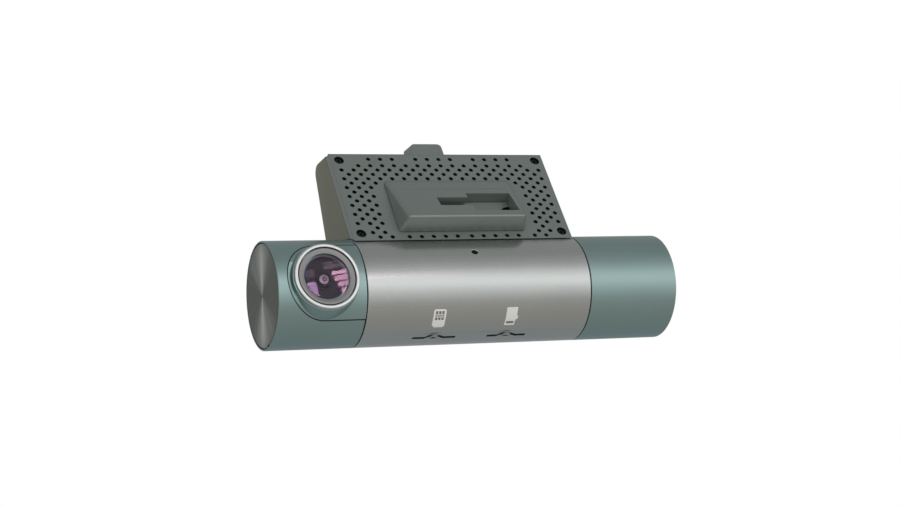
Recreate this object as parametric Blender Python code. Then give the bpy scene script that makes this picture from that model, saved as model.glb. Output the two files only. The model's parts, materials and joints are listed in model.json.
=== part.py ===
"""Two-channel cylindrical dash camera, modelled as the separate pieces it is assembled from.

A round body tube carries a leaning electronics box. A camera barrel turns at each end of the
tube: the road camera at -X, and the cabin camera at +X, which looks backwards. The box is closed
by a perforated vent plate that carries the cleat for the windshield bracket.

Axes: +X along the barrel, -Y towards the road, +Z up. The origin is the mount point on the
cleat's bracket face. Angles round the barrel are in degrees from straight ahead (-Y), rising
towards +Z. Metres throughout.
"""

import bpy
import bmesh
from math import atan2, cos, degrees, pi, radians, sin, tau
from mathutils import Matrix, Vector

# ---- barrel ---------------------------------------------------------------------------------
BARREL_RADIUS = 0.0178
TUBE_WALL = 0.0014
CENTRE_LENGTH = 0.0798
CABIN_LENGTH = 0.0323          # cabin camera barrel; the road camera's follows from its lens
SEAM = 0.0004                  # running gap between the tube and each turning barrel
GAP = 0.0003                   # gap between pieces that touch

# ---- end caps -------------------------------------------------------------------------------
CAP_THICKNESS = 0.0012
CAP_LIP = 0.0005               # rim of the barrel cover left round the cap
CAP_NOTCH_RADIUS = 0.0006
CAP_NOTCH_ANGLE = -68

# ---- pivots ---------------------------------------------------------------------------------
HUB_RADIUS = 0.0058
HUB_BORE = 0.0034
HUB_FLANGE = 0.0020
BULKHEAD_THICKNESS = 0.0044
BULKHEAD_SETBACK = 0.0011
WASHER_THICKNESS = 0.0005
RETAINER_THICKNESS = 0.0008
RETAINER_WIDTH = 0.0024
GROOVE_DEPTH = 0.0010
STOP_RADIUS = 0.0110
STOP_PIN_RADIUS = 0.0010
FRONT_STOP_ANGLE = 215
CABIN_STOP_ANGLE = 35
FRONT_UP, FRONT_DOWN = 24, 46  # degrees of turn from rest
CABIN_UP, CABIN_DOWN = 30, 30

# ---- road camera lens -----------------------------------------------------------------------
PANEL_TO_END = 0.0034          # between the lens panel and the barrel's outer end
PANEL_TO_SEAM = 0.0011
LENS_ELEVATION = 21
BEZEL_RADIUS = 0.0109
BEZEL_WIDTH = 0.0012
BEZEL_HEIGHT = 0.0010
BOSS_SHOULDER = 0.0003         # boss wider than the bezel ring at its top
BOSS_DRAFT = 0.20              # radius gained for each unit of depth
BOSS_INSIDE_PANEL = 0.0001
PANEL_MARGIN = 0.0016          # U-shaped panel wider than the bezel ring
LENS_PROUD = 0.0021            # bezel ring above the barrel's surface
TRIM_WIDTH = 0.0017
TRIM_HEIGHT = 0.0012
GLASS_THICKNESS = 0.0008
GLASS_SUNK = 0.0005            # cover glass below the trim ring
GLASS_SEAT = 0.0003            # width of the ledge under the glass
MASK_DEPTH = 0.0025            # mask below the glass
MASK_THICKNESS = 0.0006
LENS_RADIUS = 0.0025
LENS_HOLDER_RADIUS = 0.0040
LENS_HOLDER_HEIGHT = 0.0030
LENS_BELOW_GLASS = 0.0014
ELEMENT_RADIUS = 0.0016
ELEMENT_THICKNESS = 0.0008
SENSOR_DEPTH = 0.0057          # sensor board's front face from the barrel's axis
SENSOR_BOARD = (0.0150, 0.0012)  # width and thickness
SENSOR_POST_RADIUS = 0.0014
SENSOR_POST_WALL = 0.0011      # between the well and each post
CONNECTOR = (0.0060, 0.0060)

# ---- cabin camera ---------------------------------------------------------------------------
CABIN_LENS_ANGLE = 195
CABIN_BEZEL_RADIUS = 0.0090
CABIN_BEZEL_WALL = 0.0014
CABIN_BEZEL_PROUD = 0.0006
CABIN_BEZEL_DEPTH = 0.0080
CABIN_LENS_RADIUS = 0.0024
CABIN_LENS_HEIGHT = 0.0040
CABIN_TAIL = (0.0060, 0.0012)
LED_RADIUS = 0.0012
LED_HEIGHT = 0.0018
LED_CIRCLE = 0.0050
LED_COUNT = 4

# ---- electronics box ------------------------------------------------------------------------
BOX_SETBACK = 0.0002           # each end of the box inside the end of the tube
PLATE_FOOT_ANGLE = 75          # where the vent plate meets the barrel
PLATE_LEAN = 42                # back from vertical
PLATE_HEIGHT = 0.0392
PLATE_RIM = 0.0026
PLATE_SKIN = 0.0015
BOX_TOP_DEPTH = 0.0157
BOX_TOP_SLOPE = 17
BOX_BACK_FOOT_ANGLE = 171
BOX_BACK_ROUND = 0.0042
BOX_WALL = 0.0016
SADDLE_WALL = 0.0014

# ---- vent holes -----------------------------------------------------------------------------
VENT_RADIUS = 0.00078
VENT_PITCH = 0.00431           # between two holes of a row
VENT_ROW = 0.00198             # between two rows, which are staggered by half a pitch
VENT_FIRST = 0.00205           # lowest row above the plate's lower edge
VENT_TOP_INSET = 0.0025        # top row below the plate's upper edge
VENT_TOP_SPAN = 6              # holes each side of the middle in the top row
VENT_TOP_LEFT_OUT = (-3, 2)
VENT_UNDER_CLEAT = 5           # holes each side of the middle, below the cleat
VENT_CENTRE = 0.0026           # first of those from the middle
VENT_CLEAT_MARGIN = 0.0034
VENT_SCREW_MARGIN = 0.0034

# ---- plate screws ---------------------------------------------------------------------------
SCREW_FROM_END = 0.0032
SCREW_FROM_FOOT = 0.0037
SCREW_FROM_TOP = 0.0030
SCREW_RECESS_RADIUS = 0.0017
SCREW_RECESS = 0.0020
SCREW_HEAD_RADIUS = 0.0014
SCREW_HEAD_HEIGHT = 0.0009
SCREW_SHANK_RADIUS = 0.0008
SCREW_LENGTH = 0.0070
POST_RADIUS = 0.0024
POST_LENGTH = 0.0085

# ---- bracket cleat --------------------------------------------------------------------------
CLEAT_HALF_WIDTH = 0.0230
CLEAT_LOW = 0.0040             # base, above the plate's lower edge
CLEAT_HIGH = 0.0265
CLEAT_DRAFT = 0.26
CLEAT_LOW_HEIGHT = 0.0073
CLEAT_HIGH_HEIGHT = 0.0014
CLEAT_LOW_INSET = 0.0006
CLEAT_HIGH_INSET = 0.0014
CLEAT_ROUND = 0.0008
SLOT_LEFT, SLOT_RIGHT = -0.0078, 0.0037
SLOT_LOW, SLOT_HIGH = 0.0066, 0.0114
POCKET_LEFT, POCKET_RIGHT = 0.0048, 0.0198
POCKET_LOW, POCKET_HIGH = 0.0033, 0.0138
CHANNEL_SKIN = 0.0017          # wall left over the channel that joins slot and pocket
CHANNEL_MARGIN = 0.0012
MOUNT_UP_FACE = 0.0140
LATCH_HOLE_RADIUS = 0.0033
LATCH_HOLE_PAST = 0.0029       # how far the hole runs past the pocket's end

# ---- power inlet ----------------------------------------------------------------------------
HOOD_LEFT, HOOD_RIGHT = -0.0086, 0.0027
HOOD_HEIGHT = 0.0047
HOOD_DEPTH = 0.0074
HOOD_ROOT = 0.0030
HOOD_WALL = 0.0012
HOOD_ROUND = 0.0014
HOOD_SETBACK = 0.0001
SOCKET_THICKNESS = 0.0033
SOCKET_SHELL = 0.0004
SOCKET_SUNK = 0.0010
SOCKET_LENGTH = 0.0074
SOCKET_MOUTH_DEPTH = 0.0055

# ---- boards and parts in the box ------------------------------------------------------------
BOARD_THICKNESS = 0.0012
BOARD_DEPTH = 0.0085           # main board's front face below the vent plate's face
BOARD_ABOVE_LINK = 0.0010      # main board's lower edge above the tip of the link flex
BOARD_BELOW_HOOD = 0.0014
PROCESSOR = (0.0120, 0.0120, 0.0010)
PAD_THICKNESS = 0.0010
SPREADER_SHARE = 0.355         # of the board's width
SPREADER_THICKNESS = 0.0010
FIN_COUNT = 6
FIN_THICKNESS = 0.0010
FIN_HEIGHT = 0.0016
MODEM_SHARE = 0.92             # of the board's width beside the spreader
MODEM_THICKNESS = 0.0024
ANTENNA_SHARE = 0.83
ANTENNA_THICKNESS = 0.0040
TALL_SHARE = 0.83              # height of spreader and modem, as a share of the board's
ANTENNA_TALL_SHARE = 0.75
CAPACITOR_RADIUS = 0.0040
CAPACITOR_LENGTH = 0.0210
CAPACITOR_FROM_END = 0.0068
CAPACITOR_BEHIND_BOARD = 0.0056
CAPACITOR_ABOVE_SADDLE = 0.0016
SPEAKER_SHARE = 0.1845         # speaker's radius, as a share of the back wall's height
SPEAKER_THICKNESS = 0.0042
SPEAKER_LOW_EDGE = 0.0189      # above the back wall's foot
GRILLE_SLOTS = 5
GRILLE_SLOT = (0.0100, 0.0010)
GRILLE_PITCH = 0.0024

# ---- cards, microphone, button --------------------------------------------------------------
CARD_ANGLE = -54
SIM_X, SIM_SLOT = -0.0143, 0.0153
MEMORY_X, MEMORY_SLOT = 0.0117, 0.0140
CARD_SLOT_HEIGHT = 0.0012
THUMB_WIDTH = 0.0050
THUMB_DEPTH = 0.0005
CARD_SOCKET_MARGIN = 0.0008
CARD_SOCKET_HEIGHT = 0.0019
CARD_SOCKET_DEPTH = 0.0135
CARD_SOCKET_SETBACK = 0.0007
CARD_BOARD_CLEARANCE = 0.0045
CARD_BOARD_BEHIND = 0.0080
LINK_X, LINK_WIDTH, LINK_THICKNESS = 0.0220, 0.0090, 0.0004
LINK_WINDOW = (0.0110, 0.0050)
LINK_CLEARANCE = 0.0012
LINK_ANGLE = 112
MIC_ANGLE = 50
MIC_HOLE_RADIUS = 0.0011
MIC_RADIUS = 0.0030
MIC_THICKNESS = 0.0022
BUTTON_ANGLE = 200
BUTTON_RADIUS = 0.0045
BUTTON_FLANGE_RADIUS = 0.0056
BUTTON_FLANGE = 0.0009
BUTTON_PROUD = 0.0007
BUTTON_TRAVEL = 0.0006
SWITCH = (0.0060, 0.0060, 0.0030)
BUTTON_BOARD = (0.0260, 0.0080, 0.0010)
LIGHT_X = 0.0105
LIGHT_RADIUS = 0.0011
LIGHT_FLANGE_RADIUS = 0.0018
CABLE_RADIUS = 0.0011

TUBE_STEPS = 48
RING_STEPS = 32
HIDDEN_STEPS = 24               # round pieces that only show when it is opened
SMALL_STEPS = 16

# ---- places that follow from the sizes above ------------------------------------------------
BORE_RADIUS = BARREL_RADIUS - TUBE_WALL
THROUGH_WALL = (BORE_RADIUS - TUBE_WALL, BARREL_RADIUS + TUBE_WALL)
HALF = CENTRE_LENGTH / 2
PANEL_RADIUS = BEZEL_RADIUS + PANEL_MARGIN
FRONT_SEAM_X = -HALF - SEAM
LENS_X = FRONT_SEAM_X - PANEL_TO_SEAM - PANEL_RADIUS
FRONT_END_X = LENS_X - PANEL_RADIUS - PANEL_TO_END
CABIN_SEAM_X = HALF + SEAM
CABIN_END_X = CABIN_SEAM_X + CABIN_LENGTH
CABIN_LENS_X = (CABIN_SEAM_X + CABIN_END_X) / 2
BOX_HALF = HALF - BOX_SETBACK
LENS_TOP = BARREL_RADIUS + LENS_PROUD


def round_barrel(angle, radius=1.0):
    """Point (y, z) at an angle round the barrel."""
    return Vector((-cos(radians(angle)) * radius, sin(radians(angle)) * radius))


def meeting(point_a, along_a, point_b, along_b):
    """Point (y, z) where two lines meet."""
    across = along_a.x * along_b.y - along_a.y * along_b.x
    between = point_b - point_a
    return point_a + along_a * ((between.x * along_b.y - between.y * along_b.x) / across)


PLATE_UP = Vector((sin(radians(PLATE_LEAN)), cos(radians(PLATE_LEAN))))
PLATE_IN = Vector((PLATE_UP.y, -PLATE_UP.x))
BOX_TOP = Vector((cos(radians(BOX_TOP_SLOPE)), -sin(radians(BOX_TOP_SLOPE))))
PLATE_FOOT = round_barrel(PLATE_FOOT_ANGLE, BARREL_RADIUS)
PLATE_CREST = PLATE_FOOT + PLATE_UP * PLATE_HEIGHT
SHOULDER = PLATE_CREST + BOX_TOP * BOX_TOP_DEPTH
BACK_FOOT = round_barrel(BOX_BACK_FOOT_ANGLE, BARREL_RADIUS)
BACK_UP = (SHOULDER - BACK_FOOT).normalized()
BACK_OUT = Vector((BACK_UP.y, -BACK_UP.x))
SPEAKER_RADIUS = (SHOULDER - BACK_FOOT).length * SPEAKER_SHARE
SPEAKER_PLACE = BACK_FOOT + BACK_UP * (SPEAKER_LOW_EDGE + SPEAKER_RADIUS)
LINK_TIP = BARREL_RADIUS + GAP + SADDLE_WALL + LINK_CLEARANCE

FACE_LOW = PLATE_FOOT + PLATE_UP * (CLEAT_LOW + CLEAT_LOW_INSET) - PLATE_IN * CLEAT_LOW_HEIGHT
FACE_HIGH = PLATE_FOOT + PLATE_UP * (CLEAT_HIGH - CLEAT_HIGH_INSET) - PLATE_IN * CLEAT_HIGH_HEIGHT
FACE_UP = (FACE_HIGH - FACE_LOW).normalized()
FACE_LEAN = degrees(atan2(FACE_UP.x, FACE_UP.y))
MOUNT = FACE_LOW + FACE_UP * MOUNT_UP_FACE

SCREW_X = BOX_HALF - SCREW_FROM_END
SCREW_HIGH = PLATE_HEIGHT - SCREW_FROM_TOP
RIM_BACK = -PLATE_RIM - GAP
BULKHEAD_OUTER = HALF - BULKHEAD_SETBACK
BULKHEAD_INNER = BULKHEAD_OUTER - BULKHEAD_THICKNESS
WASHER_FAR = BULKHEAD_INNER - GAP - WASHER_THICKNESS
RING_NEAR = WASHER_FAR - GAP
RING_FAR = RING_NEAR - RETAINER_THICKNESS
HUB_TIP = RING_FAR - GROOVE_DEPTH
CARD_BOARD_HALF = HUB_TIP - CARD_BOARD_CLEARANCE
VENT_TOP = PLATE_HEIGHT - VENT_TOP_INSET
THIN_HALF = (int(BOX_HALF / VENT_PITCH) - 1.25) * VENT_PITCH  # ends between two columns of holes


# ---- building tools -------------------------------------------------------------------------
def clear_scene():
    for obj in list(bpy.data.objects):
        bpy.data.objects.remove(obj, do_unlink=True)


def finish(name, colour, roughness, metallic=0.0, alpha=1.0):
    """Principled material."""
    made = bpy.data.materials.new(name)
    made.use_nodes = True
    shader = made.node_tree.nodes["Principled BSDF"]
    shader.inputs["Base Color"].default_value = (*colour, 1.0)
    shader.inputs["Roughness"].default_value = roughness
    shader.inputs["Metallic"].default_value = metallic
    shader.inputs["Alpha"].default_value = alpha
    made.diffuse_color = (*colour, alpha)
    return made


def frame(name, parent=None, x=0.0, place=(0.0, 0.0), facing=90.0):
    """Empty at (x, *place) whose local +Z points at the angle `facing` round the barrel."""
    empty = bpy.data.objects.new(name, None)
    bpy.context.scene.collection.objects.link(empty)
    empty.parent = parent
    empty.location = (x, place[0], place[1])
    empty.rotation_euler = (radians(90 - facing), 0.0, 0.0)
    return empty


def block(x, y, z):
    """Box between the two ends of each range."""
    shape = bmesh.new()
    bmesh.ops.create_cube(shape, size=1.0)
    for vert in shape.verts:
        for axis, ends in enumerate((x, y, z)):
            vert.co[axis] = max(ends) if vert.co[axis] > 0 else min(ends)
    return shape


def around(middle, width):
    return (middle - width / 2, middle + width / 2)


def disc(radius, z, centre=(0.0, 0.0), steps=SMALL_STEPS, top_radius=None):
    """Cylinder or cone along local Z."""
    shape = bmesh.new()
    place = Matrix.Translation((centre[0], centre[1], (z[0] + z[1]) / 2))
    bmesh.ops.create_cone(
        shape, cap_ends=True, segments=steps, radius1=radius,
        radius2=radius if top_radius is None else top_radius, depth=z[1] - z[0], matrix=place,
    )
    return shape


def ball(radius, centre):
    shape = bmesh.new()
    bmesh.ops.create_uvsphere(shape, u_segments=32, v_segments=24, radius=radius,
                              matrix=Matrix.Translation(centre))
    return shape


def turned(profile, steps=RING_STEPS, axis="Z", sweep=tau):
    """Closed profile of (along, radius) points, turned about an axis. Points at radius 0 close."""
    shape = bmesh.new()
    if axis == "Z":
        verts = [shape.verts.new((radius, 0.0, along)) for along, radius in profile]
        about = Vector((0.0, 0.0, 1.0))
    else:
        verts = [shape.verts.new((along, radius, 0.0)) for along, radius in profile]
        about = Vector((1.0, 0.0, 0.0))
    edges = [shape.edges.new(pair) for pair in zip(verts, verts[1:] + verts[:1])
             if max(vert.co.cross(about).length for vert in pair) > 1e-9]
    whole = sweep == tau
    bmesh.ops.spin(shape, geom=verts + edges, cent=(0, 0, 0), axis=about, angle=sweep,
                   steps=steps, use_merge=whole)
    bmesh.ops.remove_doubles(shape, verts=shape.verts, dist=1e-7)
    if not whole:
        bmesh.ops.holes_fill(shape, edges=[edge for edge in shape.edges if edge.is_boundary])
    bmesh.ops.recalc_face_normals(shape, faces=shape.faces)
    return shape


def bar(radius, x):
    """Solid cylinder on the barrel's axis."""
    return turned([(x[0], 0), (x[0], radius), (x[1], radius), (x[1], 0)], TUBE_STEPS, "X")


def prism(outline, x, rounded=None, size=0.0):
    """Outline of (y, z) points extruded along X, with one corner rounded on request."""
    shape = bmesh.new()
    verts = [shape.verts.new((x[0], point[0], point[1])) for point in outline]
    face = shape.faces.new(verts)
    if rounded is not None:
        bmesh.ops.bevel(shape, geom=[verts[rounded]], affect="VERTICES", offset=size,
                        segments=5, profile=0.5)
        face = shape.faces[:][0]
    grown = bmesh.ops.extrude_face_region(shape, geom=[face], use_keep_orig=True)
    far = [item for item in grown["geom"] if isinstance(item, bmesh.types.BMVert)]
    bmesh.ops.translate(shape, verts=far, vec=(x[1] - x[0], 0.0, 0.0))
    bmesh.ops.recalc_face_normals(shape, faces=shape.faces)
    return shape


def together(*shapes):
    """Several separate shapes in one mesh."""
    whole = bmesh.new()
    for shape in shapes:
        part = bpy.data.meshes.new("part")
        shape.to_mesh(part)
        whole.from_mesh(part)
        shape.free()
        bpy.data.meshes.remove(part)
    return whole


def moved(shape, offset):
    bmesh.ops.translate(shape, verts=shape.verts, vec=offset)
    return shape


def rounded_edges(shape, size, segments=2, keep=lambda edge: True):
    edges = [edge for edge in shape.edges if keep(edge)]
    bmesh.ops.bevel(shape, geom=edges, affect="EDGES", offset=size, segments=segments,
                    profile=0.5, clamp_overlap=True)
    return shape


def combine(obj, other, operation):
    modifier = obj.modifiers.new(f"{operation.lower()} {other.name}", "BOOLEAN")
    modifier.object = other
    modifier.operation = operation
    modifier.solver = "EXACT"


def piece(name, shape, material, parent, cuts=(), joins=()):
    """Object for one sub-part. `joins` are united with it first, then `cuts` are taken out."""
    mesh = bpy.data.meshes.new(name)
    shape.to_mesh(mesh)
    shape.free()
    mesh.materials.append(material)
    mesh.shade_smooth()
    mesh.set_sharp_from_angle(angle=radians(35))
    obj = bpy.data.objects.new(name, mesh)
    bpy.context.scene.collection.objects.link(obj)
    obj.parent = parent
    for operation, others in (("UNION", joins), ("DIFFERENCE", cuts)):
        for other in others:
            combine(obj, other, operation)
    return obj


def helper(name, shape, parent, cuts=()):
    """Shape that only cuts or joins other pieces, and is not a piece itself."""
    obj = piece(name, shape, HELPER, parent, cuts)
    obj.hide_render = True
    obj.display_type = "WIRE"
    return obj


clear_scene()

HELPER = finish("helper", (0.8, 0.2, 0.2), 0.5)
SILVER = finish("brushed_silver", (0.42, 0.43, 0.42), 0.34, 0.9)
TEAL = finish("teal_anodised", (0.17, 0.27, 0.26), 0.36, 0.7)
SPUN = finish("spun_cap", (0.20, 0.21, 0.18), 0.30, 0.9)
GREY_PLASTIC = finish("grey_plastic", (0.19, 0.21, 0.19), 0.48)
OLIVE_PLASTIC = finish("olive_plastic", (0.12, 0.12, 0.10), 0.50)
BLACK_PLASTIC = finish("black_plastic", (0.02, 0.02, 0.02), 0.45)
BRIGHT_RING = finish("bright_ring", (0.62, 0.64, 0.63), 0.22, 1.0)
TRIM_GREY = finish("trim_grey", (0.28, 0.29, 0.28), 0.35, 0.6)
SCREW_STEEL = finish("screw_steel", (0.05, 0.05, 0.05), 0.35, 0.9)
SPRING_STEEL = finish("spring_steel", (0.45, 0.45, 0.45), 0.30, 1.0)
GLASS = finish("lens_glass", (0.02, 0.02, 0.03), 0.03, 0.0, 0.35)
GREEN_BOARD = finish("circuit_board", (0.03, 0.14, 0.07), 0.40)
SHIELD = finish("shield_can", (0.55, 0.55, 0.54), 0.30, 1.0)
CERAMIC = finish("antenna_ceramic", (0.55, 0.48, 0.36), 0.50)
ALUMINIUM = finish("bare_aluminium", (0.60, 0.61, 0.62), 0.35, 1.0)
SILICONE = finish("silicone_pad", (0.35, 0.42, 0.50), 0.70)
RED_PLASTIC = finish("button_red", (0.45, 0.03, 0.02), 0.40)
LIGHT_CLEAR = finish("light_pipe", (0.80, 0.85, 0.85), 0.20)
CABLE_BLACK = finish("cable_black", (0.03, 0.03, 0.03), 0.60)
FLEX_AMBER = finish("flex_amber", (0.40, 0.20, 0.04), 0.45)

body = frame("body_axis", place=-MOUNT)
plate_frame = frame("vent_plate_frame", body, place=PLATE_FOOT, facing=PLATE_LEAN)
cleat_frame = frame("cleat_face_frame", body, place=FACE_LOW, facing=FACE_LEAN)
speaker_frame = frame("speaker_frame", body, place=SPEAKER_PLACE,
                      facing=degrees(atan2(BACK_OUT.y, -BACK_OUT.x)))
card_frame = frame("card_frame", body, facing=CARD_ANGLE)
mic_frame = frame("microphone_frame", body, facing=MIC_ANGLE)
button_frame = frame("button_axis", body, facing=BUTTON_ANGLE)
link_frame = frame("link_frame", body, facing=LINK_ANGLE)
front_pivot = frame("front_camera_pivot", body)
lens_frame = frame("front_lens_axis", front_pivot, x=LENS_X, facing=LENS_ELEVATION)
cabin_pivot = frame("cabin_camera_pivot", body)
cabin_lens_frame = frame("cabin_lens_axis", cabin_pivot, x=CABIN_LENS_X, facing=CABIN_LENS_ANGLE)


# ---- body tube ------------------------------------------------------------------------------
def screw_places(low=True, high=True):
    """(x, up the plate) of the plate screws."""
    rows = [SCREW_FROM_FOOT] * low + [SCREW_HIGH] * high
    return [(side * SCREW_X, up) for up in rows for side in (-1, 1)]


def screw_bores(name, places):
    """Cutter for the blind holes that the plate screws go into."""
    depth = SCREW_RECESS + SCREW_LENGTH + 2 * GAP
    return helper(name, together(*[
        disc(SCREW_SHANK_RADIUS + GAP, (-depth, GAP), place) for place in places
    ]), plate_frame)


def make_body_tube():
    card_slots = helper("card_slot_cutter", together(
        block(around(SIM_X, SIM_SLOT), around(0, CARD_SLOT_HEIGHT), THROUGH_WALL),
        block(around(MEMORY_X, MEMORY_SLOT), around(0, CARD_SLOT_HEIGHT), THROUGH_WALL),
    ), card_frame)
    scoop = THUMB_DEPTH / 2 + THUMB_WIDTH ** 2 / (8 * THUMB_DEPTH)
    thumb_cuts = [
        helper(f"{card}_thumb_cutter",
               ball(scoop, (x, 0.0, BARREL_RADIUS - THUMB_DEPTH + scoop)), card_frame)
        for card, x in (("sim", SIM_X), ("memory", MEMORY_X))
    ]
    mic_hole = helper("mic_cutter", disc(MIC_HOLE_RADIUS, THROUGH_WALL), mic_frame)
    button_hole = helper("button_cutter", together(
        disc(BUTTON_RADIUS + GAP, THROUGH_WALL, steps=RING_STEPS),
        disc(LIGHT_RADIUS + GAP, THROUGH_WALL, (LIGHT_X, 0.0)),
    ), button_frame)
    screw_holes = screw_bores("tube_screw_cutter", screw_places(high=False))
    window = helper("tube_window_cutter", block(
        around(LINK_X, LINK_WINDOW[0]), around(0, LINK_WINDOW[1]), THROUGH_WALL), link_frame)
    piece("centre_tube", turned([
        (-HALF, BORE_RADIUS), (-HALF, BARREL_RADIUS), (HALF, BARREL_RADIUS), (HALF, BORE_RADIUS)],
        TUBE_STEPS, "X"), SILVER, body,
        cuts=[card_slots, *thumb_cuts, mic_hole, button_hole, screw_holes, window])


# ---- electronics box ------------------------------------------------------------------------
def hood_outline(grow=0.0):
    """Side view of the power inlet's hood, which follows the plate and the box's sloping top."""
    low = PLATE_CREST - PLATE_UP * (HOOD_ROOT + grow)
    high = PLATE_CREST + PLATE_UP * (HOOD_HEIGHT + grow)
    front = PLATE_IN * HOOD_SETBACK - BOX_TOP * grow
    back = BOX_TOP * (HOOD_DEPTH + grow)
    return [low + front, high + front, high + back, low + back]


def housing_outline():
    """Side view of the box, from the vent plate's foot round to the barrel's axis."""
    rim = PLATE_FOOT + PLATE_IN * (PLATE_RIM + GAP)
    crest = meeting(rim, PLATE_UP, PLATE_CREST, BOX_TOP)
    inside = round_barrel(BOX_BACK_FOOT_ANGLE, BORE_RADIUS)
    return [rim, crest, SHOULDER, BACK_FOOT, inside, Vector((0, 0))]


def hollow_outline():
    """Side view of the space inside the box, a wall's thickness within its top and back."""
    before = PLATE_FOOT - PLATE_IN * BOX_WALL
    top_wall = PLATE_CREST - Vector((-BOX_TOP.y, BOX_TOP.x)) * BOX_WALL
    back_wall = SHOULDER - BACK_OUT * BOX_WALL
    return [
        before - PLATE_UP * BARREL_RADIUS,
        meeting(before, PLATE_UP, top_wall, BOX_TOP),
        meeting(top_wall, BOX_TOP, back_wall, BACK_UP),
        meeting(Vector((0, 0)), Vector((1, 0)), back_wall, BACK_UP),
        Vector((0, 0)),
    ]


def make_housing():
    past_ends = (-CENTRE_LENGTH, CENTRE_LENGTH)
    saddle = helper("saddle_former", bar(BARREL_RADIUS + GAP + SADDLE_WALL, past_ends), body)
    hollow = helper("housing_hollow", prism(
        hollow_outline(), (-BOX_HALF + BOX_WALL, BOX_HALF - BOX_WALL), 2,
        max(BOX_BACK_ROUND - BOX_WALL, GAP)), body, [saddle])
    posts = helper("housing_posts", together(*[
        disc(POST_RADIUS, (RIM_BACK - POST_LENGTH, RIM_BACK), place, RING_STEPS // 2)
        for place in screw_places(low=False)
    ]), plate_frame)
    barrel = helper("housing_barrel_cutter", bar(BARREL_RADIUS + GAP, past_ends), body)
    bores = screw_bores("housing_screw_cutter", screw_places())
    hood = helper("housing_hood_cutter", prism(
        hood_outline(GAP), (HOOD_LEFT - GAP, HOOD_RIGHT + GAP)), body)
    window = helper("saddle_window_cutter", block(
        around(LINK_X, LINK_WINDOW[0]), around(0, LINK_WINDOW[1]),
        (BARREL_RADIUS, BARREL_RADIUS + 3 * SADDLE_WALL)), link_frame)
    rows = range(-(GRILLE_SLOTS // 2), GRILLE_SLOTS // 2 + 1)
    grille = helper("grille_cutter", together(*[
        block(around(0, GRILLE_SLOT[0]), around(row * GRILLE_PITCH, GRILLE_SLOT[1]),
              (-BOX_WALL - GAP, GAP)) for row in rows
    ]), speaker_frame)
    shell = piece("rear_housing", prism(housing_outline(), (-BOX_HALF, BOX_HALF), 2, BOX_BACK_ROUND),
                  OLIVE_PLASTIC, body)
    combine(shell, hollow, "DIFFERENCE")
    combine(shell, posts, "UNION")
    for cutter in (barrel, bores, hood, window, grille):
        combine(shell, cutter, "DIFFERENCE")


def vent_places():
    """(x, up the plate) of every vent hole: staggered rows that stop short of screws and cleat."""
    columns = int((BOX_HALF - 2 * VENT_RADIUS) / (VENT_PITCH / 2))
    rows = int((PLATE_HEIGHT - VENT_FIRST) / VENT_ROW) - 1
    places = [(side * (VENT_CENTRE + column * VENT_PITCH), VENT_FIRST)
              for side in (-1, 1) for column in range(VENT_UNDER_CLEAT)]
    for row in range(rows):
        up = VENT_FIRST + row * VENT_ROW
        at_corner = up < CLEAT_LOW or up > CLEAT_HIGH - VENT_ROW
        margin = VENT_CLEAT_MARGIN / 2 if at_corner else VENT_CLEAT_MARGIN
        for column in range(-columns, columns + 1):
            x = column * VENT_PITCH / 2
            by_cleat = up < CLEAT_HIGH and abs(x) < CLEAT_HALF_WIDTH + margin
            if (column + row) % 2 == 0 and not by_cleat:
                places.append((x, up))
    places += [(column * VENT_PITCH, VENT_TOP)
               for column in range(-VENT_TOP_SPAN, VENT_TOP_SPAN + 1)
               if column not in VENT_TOP_LEFT_OUT]
    return [place for place in places
            if all((Vector(place) - Vector(screw)).length > VENT_SCREW_MARGIN
                   for screw in screw_places())]


def latch_hole_place():
    """(x, up the plate) of the hole in the floor of the bracket pocket."""
    middle = FACE_LOW + FACE_UP * ((POCKET_LOW + POCKET_HIGH) / 2)
    face_in = Vector((FACE_UP.y, -FACE_UP.x))
    floor = meeting(middle, face_in, PLATE_FOOT, PLATE_UP)
    return (POCKET_RIGHT + LATCH_HOLE_PAST - LATCH_HOLE_RADIUS, (floor - PLATE_FOOT).length)


def on_hood_top(edge):
    """Whether an edge of the hood's prism runs front to back along its top."""
    low, high = edge.verts
    risen = [(vert.co.yz - PLATE_CREST).dot(PLATE_UP) > HOOD_HEIGHT / 2 for vert in edge.verts]
    return all(risen) and abs(low.co.x - high.co.x) < GAP


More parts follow.
